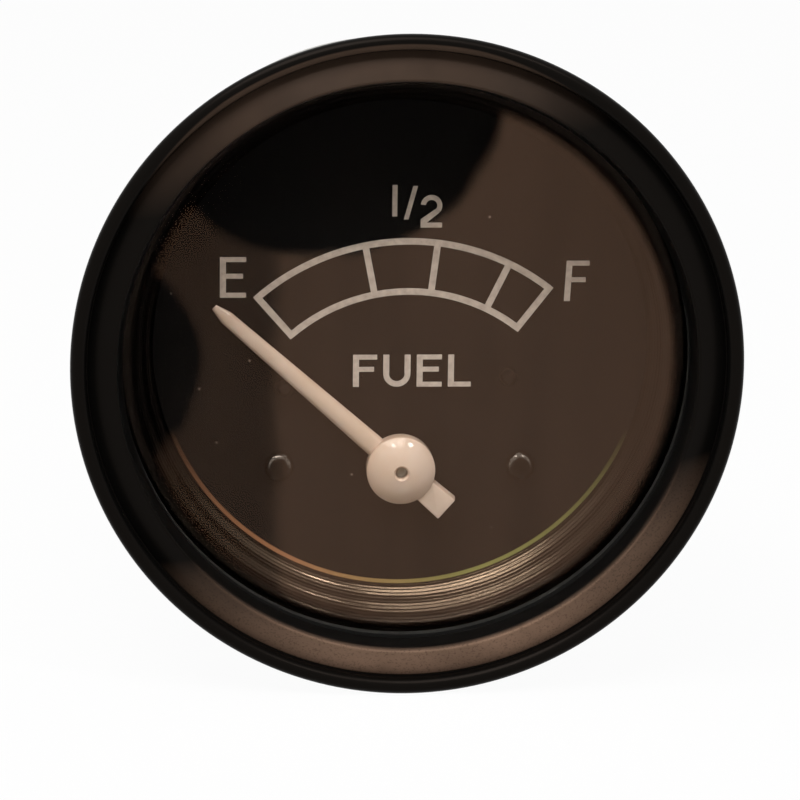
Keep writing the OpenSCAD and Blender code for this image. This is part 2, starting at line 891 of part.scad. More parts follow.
// Moulded bobbin with square flanges
module bobbin(s) {
    flange_r = bobbin_w * 0.62;
    color([0.8, 0.75, 0.62])
        at_coil(s)
            difference() {
                union() {
                    for (z = [coil_in, coil_out - bobbin_flange_t])
                        intersection() {
                            translate([-bobbin_w / 2, -bobbin_w / 2, z])
                                cube([bobbin_w, bobbin_w, bobbin_flange_t]);
                            translate([0, 0, z])
                                cylinder(r = flange_r, h = bobbin_flange_t);
                        }
                    translate([0, 0, coil_in])
                        cylinder(r = tube_r, h = bobbin_len);
                }
                translate([0, 0, coil_in - cut])
                    cylinder(r = core_r + fixed_gap, h = bobbin_len + 2 * cut);
            }
}

// Copper winding that fills one bobbin
module winding(s) {
    color([0.55, 0.25, 0.12])
        at_coil(s)
            translate([0, 0, coil_in + bobbin_flange_t])
                difference() {
                    cylinder(r = winding_r, h = bobbin_len - 2 * bobbin_flange_t);
                    translate([0, 0, -cut])
                        cylinder(r = tube_r + fixed_gap, h = bobbin_len + 2 * cut);
                }
}

// Iron bracket that holds one core on the base plate
module coil_bracket(s) {
    front = -bracket_w / 2;
    back = base_y - coil_y;
    color([0.5, 0.5, 0.48])
        at_coil(s)
            difference() {
                union() {
                    translate([-bracket_w / 2, front, coil_out])
                        cube([bracket_w, back - front, bracket_t]);
                    translate([-bracket_w / 2, back - bracket_t, coil_out])
                        cube([bracket_w, bracket_t, bracket_t + foot_len]);
                }
                translate([0, 0, coil_out - cut])
                    cylinder(r = core_r + fixed_gap, h = bracket_t + 2 * cut);
                translate([0, 0, coil_out + bracket_t + foot_len / 2])
                    rod(foot_screw_r + fixed_gap, back - bracket_t - cut, back + cut);
            }
}

// Screws that hold the coil brackets on the base plate
module coil_bracket_screws() {
    head_r = 1.8;
    head_h = 1;
    foot_y = base_y - coil_y - bracket_t;
    color([0.75, 0.6, 0.32])
        for (s = sides)
            at_coil(s)
                translate([0, 0, coil_out + bracket_t + foot_len / 2])
                    pan_screw(head_r, head_h, foot_screw_r, foot_y, base_back_y - coil_y);
}

// Tubes between the base plate and the back of the case
module movement_pillars() {
    pillar_r = post_d / 2 + 0.6;
    color([0.7, 0.68, 0.62])
        for (s = sides)
            at(s * dial_screw_x, pivot_z)
                difference() {
                    rod(pillar_r, base_back_y, case_in_y);
                    rod(move_shank_r + running_gap, base_back_y - cut, case_in_y + cut);
                }
}

// Screws from the back of the case through the pillars into the posts
module movement_screws() {
    head_r = 2.4;
    head_h = 1.5;
    color([0.7, 0.68, 0.62])
        for (s = sides)
            at(s * dial_screw_x, pivot_z)
                mirror([0, 1, 0])
                    pan_screw(head_r, head_h, move_shank_r, -case_depth, move_shank_grip - base_y);
}

// Stud along Y with a round head in front of depth y and a thinner free end behind depth free_y
module stud(head_r, y, free_y, tip_y) {
    point = 0.5;
    turned([
        [0, y - stud_head_t], [head_r, y - stud_head_t], [head_r, y],
        [stud_r, y], [stud_r, free_y], [stud_free_r, free_y],
        [stud_free_r, tip_y - point], [stud_free_r - point, tip_y], [0, tip_y]
    ]);
}

// Terminal stud with a square head inside the case
module terminal_stud(s) {
    head_w = 6;
    head_back = case_in_y - fibre_t - tag_t;
    color([0.78, 0.62, 0.33])
        at(s * terminal_x, terminal_z) {
            translate([-head_w / 2, head_back - stud_head_t, -head_w / 2])
                cube([head_w, stud_head_t, head_w]);
            stud(stud_r + 0.4, head_back, outer_nut_y + outer_nut_t, terminal_tip_y);
        }
}

// Fibre bushes inside the case, with spigots through its holes
module inner_insulators() {
    color([0.45, 0.14, 0.1])
        for (s = sides)
            at(s * terminal_x, terminal_z)
                difference() {
                    union() {
                        rod(insulator_r, case_in_y - fibre_t, case_in_y);
                        rod(spigot_r, case_in_y - fibre_t, case_depth);
                    }
                    rod(stud_bore_r, case_in_y - fibre_t - cut, case_depth + cut);
                }
}

// Fibre washers outside the case
module outer_insulators() {
    color([0.45, 0.14, 0.1])
        for (s = sides)
            at(s * terminal_x, terminal_z)
                difference() {
                    rod(insulator_r, case_depth, terminal_nut_y);
                    rod(stud_bore_r, case_depth - cut, terminal_nut_y + cut);
                }
}

// Solder tags under the heads of the terminal studs
module solder_tags() {
    tag_back = case_in_y - fibre_t;
    tongue_w = 2;
    color([0.8, 0.78, 0.72])
        for (s = sides)
            at(s * terminal_x, terminal_z)
                difference() {
                    union() {
                        rod(tag_r, tag_back - tag_t, tag_back);
                        translate([-tongue_w / 2, tag_back - tag_t, -tongue_len])
                            cube([tongue_w, tag_t, tongue_len]);
                    }
                    rod(stud_bore_r, tag_back - tag_t - cut, tag_back + cut);
                }
}

// Insulated wires: one from each terminal to its coil, and one between the coils
module coil_leads() {
    wire_r = 0.35;
    corner_r = 0.42;
    start_y = case_in_y - fibre_t - tag_t;
    start_z = terminal_z - tongue_len + wire_r;
    turn_y = coil_y + 1;
    along = coil_out - bobbin_flange_t / 2;
    across = bobbin_w / 2 + 0.3;
    end_x = along * sin(coil_angle) - across * cos(coil_angle);
    end_z = pivot_z + along * cos(coil_angle) + across * sin(coil_angle);
    jumper_y = coil_y - 2;
    color([0.6, 0.12, 0.08])
        for (s = sides) {
            translate([s * terminal_x, 0, start_z]) {
                rod(wire_r, turn_y, start_y);
                translate([0, turn_y, 0])
                    sphere(r = corner_r);
                translate([s * (end_x - terminal_x) / 2, turn_y, 0])
                    rotate([0, 90, 0])
                        cylinder(r = wire_r, h = abs(terminal_x - end_x), center = true);
            }
            translate([s * end_x, turn_y, start_z])
                sphere(r = corner_r);
            translate([s * end_x, turn_y, end_z])
                cylinder(r = wire_r, h = start_z - end_z);
        }
    color([0.6, 0.12, 0.08])
        translate([-end_x, jumper_y, end_z + wire_r])
            rotate([0, 90, 0])
                cylinder(r = wire_r, h = 2 * end_x);
}

// Thin nuts that hold the terminals in the case
module terminal_base_nuts() {
    color([0.78, 0.62, 0.33])
        for (s = sides)
            at(s * terminal_x, terminal_z)
                hex_nut(terminal_nut_y, base_nut_t);
}

module terminal_washers() {
    color([0.6, 0.6, 0.6])
        for (s = sides)
            at(s * terminal_x, terminal_z)
                spring_washer(terminal_washer_y);
}

// Outer nuts, under which the wires' ring terminals go
module terminal_nuts() {
    color([0.78, 0.62, 0.33])
        for (s = sides)
            at(s * terminal_x, terminal_z)
                hex_nut(outer_nut_y, outer_nut_t);
}

// Two long studs whose heads lie inside the back of the case
module mounting_studs() {
    color([0.7, 0.69, 0.66])
        for (s = sides)
            at(s * mount_stud_x, mount_stud_z)
                stud(stud_head_r, case_in_y, clamp_nut_y + outer_nut_t, mount_tip_y);
}

// Thin nuts that hold the mounting studs in the case
module stud_base_nuts() {
    color([0.7, 0.69, 0.66])
        for (s = sides)
            at(s * mount_stud_x, mount_stud_z)
                hex_nut(case_depth, base_nut_t);
}

// U clamp: a strap across the studs with two legs that press on the panel
module clamp_bracket() {
    back = strap_y + strap_t;
    outer_r = bend_r + strap_t;
    color([0.68, 0.66, 0.6])
        difference() {
            translate([0, 0, mount_stud_z - strap_w / 2])
                linear_extrude(height = strap_w)
                    polygon(concat(
                        [[-leg_out_x, panel_t]],
                        arc([-leg_out_x + outer_r, back - outer_r], outer_r, 180, 90, 8),
                        arc([leg_out_x - outer_r, back - outer_r], outer_r, 90, 0, 8),
                        [[leg_out_x, panel_t], [leg_in_x, panel_t]],
                        arc([leg_in_x - bend_r, strap_y - bend_r], bend_r, 0, 90, 8),
                        arc([-leg_in_x + bend_r, strap_y - bend_r], bend_r, 90, 180, 8),
                        [[-leg_in_x, panel_t]]
                    ));
            for (s = sides)
                at(s * mount_stud_x, mount_stud_z)
                    rod(stud_bore_r + 0.05, strap_y - cut, back + cut);
        }
}

module clamp_washers() {
    color([0.6, 0.6, 0.6])
        for (s = sides)
            at(s * mount_stud_x, mount_stud_z)
                spring_washer(clamp_washer_y);
}

// Nuts that press the clamp toward the panel
module clamp_nuts() {
    color([0.7, 0.69, 0.66])
        for (s = sides)
            at(s * mount_stud_x, mount_stud_z)
                hex_nut(clamp_nut_y, outer_nut_t);
}

bezel();
window_glass();
window_gasket();
reflector_ring();
case();
dial_plate();
scale_print();
letter_print();
dial_screws();
dial_spacers();
pointer();
spindle();
armature();
armature_bush();
front_bridge();
front_bearing();
rear_bearing();
dial_posts();
base_plate();
core(-1);  // core_left
core(1);  // core_right
bobbin(-1);  // bobbin_left
bobbin(1);  // bobbin_right
winding(-1);  // winding_left
winding(1);  // winding_right
coil_bracket(-1);  // coil_bracket_left
coil_bracket(1);  // coil_bracket_right
coil_bracket_screws();
movement_pillars();
movement_screws();
terminal_stud(-1);  // terminal_stud_left
terminal_stud(1);  // terminal_stud_right
inner_insulators();
outer_insulators();
solder_tags();
coil_leads();
terminal_base_nuts();
terminal_washers();
terminal_nuts();
mounting_studs();
stud_base_nuts();
clamp_bracket();
clamp_washers();
clamp_nuts();
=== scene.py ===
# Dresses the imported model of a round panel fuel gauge: detailed pieces around the CAD frame, a procedural finish
# on every piece, and a plain studio with the photograph's camera. Shapes are drawn in millimetres.

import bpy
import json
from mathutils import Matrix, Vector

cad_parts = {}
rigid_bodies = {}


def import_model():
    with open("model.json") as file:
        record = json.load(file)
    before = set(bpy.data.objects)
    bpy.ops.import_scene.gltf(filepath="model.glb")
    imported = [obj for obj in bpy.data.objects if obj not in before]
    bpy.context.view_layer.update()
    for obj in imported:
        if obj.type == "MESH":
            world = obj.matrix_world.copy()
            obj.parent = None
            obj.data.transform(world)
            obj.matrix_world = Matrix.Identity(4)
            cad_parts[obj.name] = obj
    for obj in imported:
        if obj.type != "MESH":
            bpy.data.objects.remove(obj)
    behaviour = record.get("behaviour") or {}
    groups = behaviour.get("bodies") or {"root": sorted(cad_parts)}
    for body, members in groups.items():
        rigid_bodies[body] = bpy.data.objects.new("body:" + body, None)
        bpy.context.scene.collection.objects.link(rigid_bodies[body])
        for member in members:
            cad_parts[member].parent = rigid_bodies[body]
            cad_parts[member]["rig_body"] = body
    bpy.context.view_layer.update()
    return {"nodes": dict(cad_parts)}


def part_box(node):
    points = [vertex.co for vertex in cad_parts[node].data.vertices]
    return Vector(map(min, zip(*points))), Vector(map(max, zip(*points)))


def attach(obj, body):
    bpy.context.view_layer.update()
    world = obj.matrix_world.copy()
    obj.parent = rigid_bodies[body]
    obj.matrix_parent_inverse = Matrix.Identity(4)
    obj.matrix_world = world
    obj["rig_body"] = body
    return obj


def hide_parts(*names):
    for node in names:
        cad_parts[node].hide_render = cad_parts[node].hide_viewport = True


bl_info = {
    "name": "Panel fuel gauge",
    "version": (1, 0, 0),
    "blender": (4, 5, 0),
    "location": "View3D > Sidebar > Gauge",
    "description": "Dresses a packed fuel gauge with detailed pieces, finishes and a plain studio",
    "category": "Object",
}

import json
import math

import bmesh
import bpy
from bpy.props import FloatProperty, FloatVectorProperty, IntProperty, PointerProperty
from mathutils import Matrix, Quaternion, Vector

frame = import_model()

MM = 0.001
PICTURE = 800
SIDES = (-1, 1)
# Keeps X and Z of a vector, across the gauge's axis.
ACROSS = (1.0, 0.0, 1.0)


def from_hex(text):
    """Linear colour from an sRGB hex value."""
    parts = [int(text[i:i + 2], 16) / 255 for i in (1, 3, 5)]
    return tuple(c / 12.92 if c <= 0.04045 else ((c + 0.055) / 1.055) ** 2.4 for c in parts)


def reach(node, axis, end):
    """Lowest (end 0) or highest (end 1) place of a CAD node along an axis, in millimetres."""
    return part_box(node)[end][axis] / MM


def middle(node):
    """Middle of a CAD node's box, in millimetres."""
    lo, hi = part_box(node)
    return (lo + hi) / 2 / MM


BEZEL_R = reach("bezel", 0, 1)
GLASS_Y = reach("window_glass", 1, 0)
DIAL_Y = reach("letter_print", 1, 1)
PIVOT_Z = middle("spindle").z
FLOOR_Z = reach("bezel", 2, 0)
CASE_Y = reach("case", 1, 1)
SCREW_HEAD_R = 1.35
SCREW_X = reach("dial_screws", 0, 1) - SCREW_HEAD_R
# Thickness of the terminal and mounting studs' heads, and radius of the mounting studs' heads.
STUD_HEAD = 1.6
STUD_HEAD_R = 3.2

# Name, power setting and share of it, azimuth right of the front and elevation in degrees, distance and size.
LAMPS = (
    ("key_left", "key_power", 1.0, -20.5, 46, 0.7, (0.09, 0.09)),
    ("key_right", "key_power", 1.6, 33.5, 46, 0.7, (0.09, 0.09)),
    ("top_lamp", "top_power", 1.0, -25, 62, 0.8, (0.7, 0.42)),
)


def length(name, description, default):
    """Size property, given in millimetres and kept in metres."""
    return FloatProperty(name=name, description=description, default=default * MM, unit="LENGTH", precision=5)


def colour(name, description, default):
    """Colour property, given as an sRGB hex value and kept linear."""
    return FloatVectorProperty(
        name=name, description=description, default=from_hex(default), subtype="COLOR", size=3, min=0, max=1
    )


def angle(name, description, default):
    """Angle property, given in degrees and kept in radians."""
    return FloatProperty(name=name, description=description, default=math.radians(default), subtype="ANGLE")


class GaugeSizes(bpy.types.PropertyGroup):
    """Sizes of the pieces that are modelled here."""

    bead_width: length("Bead width", "Width of the round bead at the rim", 1.45)
    crease_depth: length("Crease depth", "Distance of the crease behind the middle of the bead", 0.77)
    face_width: length("Face width", "Width of the crowned face", 2.7)
    crown_rise: length("Crown rise", "Rise of the face from the crease to the crown", 1.56)
    lip_width: length("Lip width", "Width of the lip between crown and window", 0.5)
    lip_depth: length("Lip depth", "Distance of the lip's edge behind the middle of the bead", 2.05)
    skirt_step: length("Skirt step", "Step from the bead inward to the skirt behind it", 1.0)
    bezel_sheet: length("Bezel sheet", "Thickness of the bezel's sheet", 0.6)
    seat_width: length("Seat width", "Width of the rear flange that rests on the panel", 2.65)
    hub_radius: length("Hub radius", "Outer radius of the pointer's hub", 3.15)
    hub_wall: length("Hub wall", "Height of the hub's straight wall", 1.5)
    hub_dome: length("Hub dome", "Rise of the hub's dome", 1.16)
    hub_bore: length("Hub bore", "Radius of the hole in the hub", 0.55)
    arm_width: length("Arm width", "Width of the pointer's arm at the hub", 2.05)
    arm_tip_width: length("Arm tip width", "Width of the pointer's arm near its tip", 1.3)
    arm_height: length("Arm height", "Thickness of the pointer's arm", 1.0)
    pointer_length: length("Pointer length", "Length from the pointer's axis to its tip", 22.8)
    tip_length: length("Tip length", "Length of the blunt end of the arm", 1.4)
    tail_length: length("Tail length", "Length of the pointer's tail", 5.7)
    thread_pitch: length("Thread pitch", "Pitch of the studs' threads", 0.75)
    thread_depth: length("Thread depth", "Depth of the studs' threads", 0.32)
    wire_width: length("Wire width", "Thickness of the coils' wire, drawn coarser than real so that it shows", 0.42)
    rest_angle: angle("Rest angle", "Angle of the pointer left of vertical at rest", 48.5)
    turned_steps: IntProperty(name="Steps", description="Steps of a full turn of the big rings", default=240, min=24)


class GaugeColours(bpy.types.PropertyGroup):
    """Colours of the finishes."""

    enamel: colour("Enamel", "Black enamel of the bezel", "#0A0908")
    # Colour of the painted brown reflection on the bezel's crowned face.
    enamel_reflection: colour("Enamel film", "Brown film on the bezel's crowned face", "#9A7C68")
    enamel_sheen: colour("Enamel sheen", "Tint of the enamel's reflections", "#E2CBBB")
    glass: colour("Glass", "Tint of the window", "#F8F6F0")
    # Tints of the window's painted reflection: dark in its patches, brown elsewhere.
    glass_dark_reflection: colour("Glass sheen", "Reflections where the window is clean", "#100C0A")
    glass_reflection: colour("Glass film", "Reflections where a brown film lies on the window", "#D2A588")
    dial: colour("Dial", "Black paint of the dial", "#0C0B0B")
    dial_warm: colour("Dial, warm", "Browner patches in the dial's paint", "#120F0E")
    dial_edge_left: colour("Dial edge, left", "Line at the dial's edge on the left", "#B07A58")
    dial_edge_right: colour("Dial edge, right", "Line at the dial's edge on the right", "#8E8C52")
    ink: colour("Ink", "Printed scale and letters", "#CFBFB4")
    ink_thin: colour("Ink, thin", "Thin spots of the ink", "#B4A298")
    ivory: colour("Ivory", "Moulded pointer", "#D8C0B4")
    ivory_shade: colour("Ivory, shade", "Yellower parts of the pointer", "#CDB09C")
    # Lighter tone of the ring, painted light on its lower part; ring_dark is the lacquer itself.
    ring: colour("Ring", "Lacquered reflector ring", "#6E5E50")
    ring_dark: colour("Ring, dark", "Dark lacquer of the reflector ring", "#15110F")
    oxide: colour("Black oxide", "Blackened screws", "#0C0B0A")
    # Brighter metal of the screws' shoulders, a painted highlight.
    oxide_highlight: colour("Black oxide, worn", "Rubbed shoulders of the screws", "#5C5551")
    # Dark brown of the spindle, painted shade of the hub's bore.
    steel_bore_shade: colour("Steel, dark", "Dulled end of the spindle", "#5A4534")
    zinc: colour("Zinc", "Zinc plate", "#B9B8B0")
    zinc_dull: colour("Zinc, dull", "Dulled patches of the zinc plate", "#A7A69E")
    nickel: colour("Nickel", "Nickel plate", "#C9C2B4")
    nickel_dull: colour("Nickel, dull", "Stained patches of the nickel plate", "#A0998C")
    brass: colour("Brass", "Turned brass", "#CDA75C")
    brass_dull: colour("Brass, dull", "Darkened brass", "#94713A")
    bronze: colour("Bronze", "Oiled sintered bronze", "#A9793F")
    bronze_dull: colour("Bronze, dull", "Oil in the bronze's pores", "#6A4522")
    steel: colour("Steel", "Bright steel", "#C6C6C4")
    steel_dull: colour("Steel, dull", "Duller steel", "#97968F")
    iron: colour("Iron", "Annealed soft iron", "#6E6C68")
    iron_dull: colour("Iron, dull", "Annealing scale on the iron", "#3F3C38")
    magnet: colour("Magnet", "Sintered magnet", "#34343A")
    magnet_dull: colour("Magnet, dull", "Pores of the magnet", "#1E1E21")
    tin: colour("Tin", "Tinned brass", "#D3D0C6")
    tin_dull: colour("Tin, dull", "Greyed tin", "#A8A59B")
    rubber: colour("Rubber", "Black rubber", "#0A0908")
    rubber_bloom: colour("Rubber, bloom", "Grey bloom on the rubber", "#151311")
    resin: colour("Resin", "Moulded bobbins", "#D8C9A4")
    resin_shade: colour("Resin, shade", "Darker parts of the bobbins", "#B89F70")
    fibre: colour("Fibre", "Vulcanised fibre", "#7C2A1E")
    fibre_shade: colour("Fibre, shade", "Darker layers of the fibre", "#531A12")
    sleeve: colour("Sleeve", "Sleeve of the leads", "#8C1E16")
    sleeve_shade: colour("Sleeve, shade", "Dull parts of the sleeve", "#5E120D")
    copper: colour("Copper", "Enamelled copper wire", "#B4582A")
    copper_dark: colour("Copper, dark", "Darker enamel on the wire", "#6C2C12")
    floor: colour("Floor", "Studio floor and backdrop", "#F4F3F1")


class GaugeStage(bpy.types.PropertyGroup):
    """Camera and light."""

    lens: FloatProperty(name="Lens", description="Focal length", default=201.3, unit="CAMERA")
    distance: FloatProperty(name="Distance", description="Camera to the bezel", default=0.4, unit="LENGTH")
    elevation: angle("Elevation", "Camera above the gauge's axis", 12.7)
    azimuth: angle("Azimuth", "Camera right of the gauge's axis", -4.1)
    roll: angle("Roll", "Clockwise turn of the picture", 0.69)
    centre_x: FloatProperty(
        name="Centre X", description="Bezel's middle in the picture, from the left", default=407.5, subtype="PIXEL"
    )
    centre_y: FloatProperty(
        name="Centre Y", description="Bezel's middle in the picture, from the top", default=365.2, subtype="PIXEL"
    )
    key_power: FloatProperty(name="Key power", description="Power of each front lamp", default=0.42, unit="POWER")
    top_power: FloatProperty(name="Top power", description="Power of the overhead lamp", default=5.3, unit="POWER")
    world_level: FloatProperty(name="World level", description="Strength of the world's light", default=0.12)


# ---- Finishes -------------------------------------------------------------------------------------------------


def add_node(tree, kind, inputs, **settings):
    """Add a node. Each input is linked where it is given a socket, and set where it is given a value."""
    node = tree.nodes.new(kind)
    for name, value in settings.items():
        setattr(node, name, value)
    for name, value in inputs.items():
        if isinstance(value, bpy.types.NodeSocket):
            tree.links.new(value, node.inputs[name])
        else:
            node.inputs[name].default_value = value
    return node


def noise(tree, place, size, detail, output="Fac"):
    """Soft noise whose pattern has this size in millimetres."""
    inputs = {"Vector": place, "Scale": 1 / (size * MM), "Detail": detail}
    return add_node(tree, "ShaderNodeTexNoise", inputs).outputs[output]


def ramp(tree, value, start, end, low=0.0, high=1.0):
    """Number that goes from low to high while the value goes from start to end."""
    inputs = {"Value": value, "From Min": start, "From Max": end, "To Min": low, "To Max": high}
    return add_node(tree, "ShaderNodeMapRange", inputs).outputs[0]


def band(tree, distance, start, end, low=0.0, high=1.0):
    """Ramp over a distance on the object, from start to end in millimetres."""
    return ramp(tree, distance, start * MM, end * MM, low, high)


def number(tree, operation, *values, clamp=False):
    """Result of an operation on numbers."""
    return add_node(tree, "ShaderNodeMath", dict(enumerate(values)), operation=operation, use_clamp=clamp).outputs[0]


def product(tree, first, *others):
    """Product of numbers."""
    for other in others:
        first = number(tree, "MULTIPLY", first, other)
    return first


def vector(tree, operation, *values, output="Vector"):
    """Result of an operation on vectors."""
    return add_node(tree, "ShaderNodeVectorMath", dict(enumerate(values)), operation=operation).outputs[output]


def stretched(tree, place, **changes):
    """Place with another scale or rotation, for patterns with a direction."""
    return add_node(tree, "ShaderNodeMapping", {"Vector": place, **changes}).outputs[0]


def parts_of(tree, place):
    """The X, Y and Z of a place."""
    return add_node(tree, "ShaderNodeSeparateXYZ", {"Vector": place}).outputs


def off_axis(tree, place):
    """Distance from the gauge's axis."""
    return vector(tree, "LENGTH", vector(tree, "MULTIPLY", place, ACROSS), output="Value")


def blend(tree, factor, first, second):
    """Mix of two colours, each a colour property or a socket."""
    first, second = (
        shade if isinstance(shade, bpy.types.NodeSocket) else (*shade, 1.0) for shade in (first, second)
    )
    return add_node(tree, "ShaderNodeMix", {0: factor, 6: first, 7: second}, data_type="RGBA").outputs[2]


def relief_of(tree, height, strength, depth):
    """Normal of a relief of this depth in millimetres."""
    inputs = {"Height": height, "Strength": strength, "Distance": depth * MM}
    return add_node(tree, "ShaderNodeBump", inputs).outputs[0]


def start_finish(name):
    """Empty material, its tree, and the place on the object that its patterns read."""
    material = bpy.data.materials.new(name)
    material.use_nodes = True
    tree = material.node_tree
    tree.nodes.clear()
    place = add_node(tree, "ShaderNodeTexCoord", {}).outputs["Object"]
    return material, tree, place


def end_finish(material, surface):
    """Link the finished surface to the material's output. It is a socket, or the inputs of a plain surface."""
    if isinstance(surface, dict):
        surface = add_node(material.node_tree, "ShaderNodeBsdfPrincipled", surface).outputs[0]
    add_node(material.node_tree, "ShaderNodeOutputMaterial", {"Surface": surface})
    return material


def grained_finish(name, shades, patch, grain, roughness, relief, constants):
    """Finish of two tones in soft patches, with a fine grain in its roughness and relief. patch is a size, a detail
    and the range of noise over which the tones change, and grain a size, a detail and a stretch."""
    material, tree, place = start_finish(name)
    patch_size, patch_detail, start, end = patch
    grain_size, grain_detail, stretch = grain
    tone = ramp(tree, noise(tree, place, patch_size, patch_detail), start, end)
    lines = noise(tree, stretched(tree, place, Scale=stretch), grain_size, grain_detail)
    return end_finish(material, {
        "Base Color": blend(tree, tone, *shades),
        "Roughness": ramp(tree, lines, 0.3, 0.7, *roughness),
        "Normal": relief_of(tree, lines, 0.5, relief),
        **constants,
    })


def metal_finish(name, bright, dull, roughness, grain, stretch=(1, 1, 1), patch=4.0):
    """Bare or plated metal, with a grain of its own direction."""
    wear, relief = 0.1, 0.012
    return grained_finish(
        name, (bright, dull), (patch, 4.0, 0.38, 0.66), (grain, 3.0, stretch),
        (roughness - wear, roughness + wear), relief, {"Metallic": 1.0},
    )


def moulded_finish(name, main, shade, roughness, grain, relief=0.01, patch=3.0, constants=None):
    """Moulded or pressed stuff, with a fine skin texture."""
    wear = 0.05
    return grained_finish(
        name, (main, shade), (patch, 3.0, 0.35, 0.7), (grain, 2.0, (1, 1, 1)),
        (roughness - wear, roughness + wear), relief, constants or {},
    )


def satin_black_enamel(colours):
    """Stoved black enamel on rolled steel: satin black with warm reflections, and a painted brown reflection on the
    crowned face, finely pitted at the bottom, weaker at the top left, and hardly there at the sides."""
    material, tree, place = start_finish("satin_black_enamel")
    crown_r, crease_r, film_top_r = 26.0, 28.6, 29.35
    radius = off_axis(tree, place)
    upward = vector(tree, "DOT_PRODUCT", place, (-0.2, 0.0, 0.98), output="Value")
    top = band(tree, upward, 18.0, 27.0)
    bottom = band(tree, upward, -13.0, -26.0)
    # The painted reflection ends in the crease below, and goes on over the inner half of the bead at the top.
    limit = ramp(tree, top, 0.0, 1.0, crease_r * MM, film_top_r * MM)
    outer = band(tree, number(tree, "SUBTRACT", limit, radius), 0.0, 0.15)
    inner = band(tree, radius, crown_r - 0.2, crown_r)
    from_crease = number(tree, "ABSOLUTE", number(tree, "SUBTRACT", radius, (crease_r + 0.06) * MM))
    # The crease is left black, as painted shade.
    groove = band(tree, from_crease, 0.06, 0.16)
    front = band(tree, parts_of(tree, place)["Y"], -5.9, -6.0)
    pits = noise(tree, place, 0.22, 3.0)
    lower = product(tree, bottom, ramp(tree, pits, 0.36, 0.46, 0.55, 0.8))
    amount = number(tree, "ADD", lower, product(tree, top, 0.17))
    clouds = ramp(tree, noise(tree, place, 5.0, 4.0), 0.3, 0.6, 0.75)
    # Mask of the painted brown reflection on the crowned face.
    painted_reflection = product(tree, inner, outer, groove, front, amount, clouds)
    return end_finish(material, {
        "Base Color": blend(tree, painted_reflection, colours.enamel, colours.enamel_reflection),
        "Roughness": ramp(tree, painted_reflection, 0.0, 1.0, 0.3, 0.5),
        "Normal": relief_of(tree, pits, 0.2, 0.01),
        "Specular Tint": (*colours.enamel_sheen, 1.0),
        "Specular IOR Level": 0.07,
    })


def dark_reflection_patch(tree, place, x, z, radius, wide=1.0):
    """0 within a patch of the window whose painted reflection is dark, 1 outside it, with a soft edge. In
    millimetres, where wide is the patch's width to its height."""
    apart = vector(tree, "SUBTRACT", place, (x * MM, 0.0, z * MM))
    apart = vector(tree, "MULTIPLY", apart, (1 / wide, 0.0, 1.0))
    return band(tree, vector(tree, "LENGTH", apart, output="Value"), radius - 0.5, radius + 0.5)


def window_pane_glass(colours):
    """Flat drawn glass: clear, with a painted reflection: a brown tint on its reflections, weaker on the left and
    dark in patches at the top and the left edge. Shadow rays pass it, so that the dial is lit as through a real
    pane."""
    material, tree, place = start_finish("window_pane_glass")
    flat = vector(tree, "MULTIPLY", place, ACROSS)
    wander = vector(tree, "SUBTRACT", noise(tree, flat, 9.0, 2.0, "Color"), (0.5, 0.5, 0.5))
    edge = vector(tree, "MULTIPLY_ADD", wander, (3.0 * MM, 0.0, 3.0 * MM), flat)
    # Painted reflection: dark patches at the top, at the left edge and near the rim; the brown tint is weaker on the
    # left.
    top = dark_reflection_patch(tree, edge, -7.9, 24.5, 14.6, 1.14)
    left = dark_reflection_patch(tree, edge, -29.0, 0.2, 10.6)
    rim = band(tree, off_axis(tree, place), 24.5, 23.7)
    weaker_left = band(tree, parts_of(tree, edge)["X"], -12.5, -11.0, 0.38)
    tall = stretched(tree, place, Scale=(1.0, 1.0, 0.1))
    streaks = ramp(tree, noise(tree, tall, 3.5, 2.0), 0.35, 0.6, 0.84)
    painted_reflection = product(tree, top, left, rim, weaker_left, streaks)
    pane = add_node(tree, "ShaderNodeBsdfPrincipled", {
        "Base Color": (*colours.glass, 1.0), "Roughness": 0.0, "IOR": 1.5, "Transmission Weight": 1.0,
        "Specular Tint": blend(tree, painted_reflection, colours.glass_dark_reflection, colours.glass_reflection),
    })
    clear = add_node(tree, "ShaderNodeBsdfTransparent", {})
    shadow = add_node(tree, "ShaderNodeLightPath", {}).outputs["Is Shadow Ray"]
    surface = add_node(tree, "ShaderNodeMixShader", {0: shadow, 1: pane.outputs[0], 2: clear.outputs[0]})
    return end_finish(material, surface.outputs[0])


def drawn_ring_lacquer(colours):
    """Drawn ring under dark lacquer, satin, with fine concentric lines. Its colour is painted lighter at the bottom,
    as painted light where its fine ribs catch the lamps, and darker toward the front, as painted shade under the
    lip.
    """
    material, tree, place = start_finish("drawn_ring_lacquer")
    parts = parts_of(tree, place)
    section = add_node(tree, "ShaderNodeCombineXYZ", {"X": off_axis(tree, place), "Y": parts["Y"]}).outputs[0]
    lines = ramp(tree, noise(tree, section, 0.6, 2.0), 0.35, 0.6, 0.3)
    # Painted light toward the bottom, and painted shade toward the front, under the lip.
    low = band(tree, parts["Z"], -11.0, -21.0)
    deep = band(tree, parts["Y"], -0.6, 3.0, 0.1)
    body = blend(tree, product(tree, lines, low, deep), colours.ring_dark, colours.ring)
    return end_finish(material, {"Base Color": body, "Metallic": 1.0, "Roughness": 0.15})


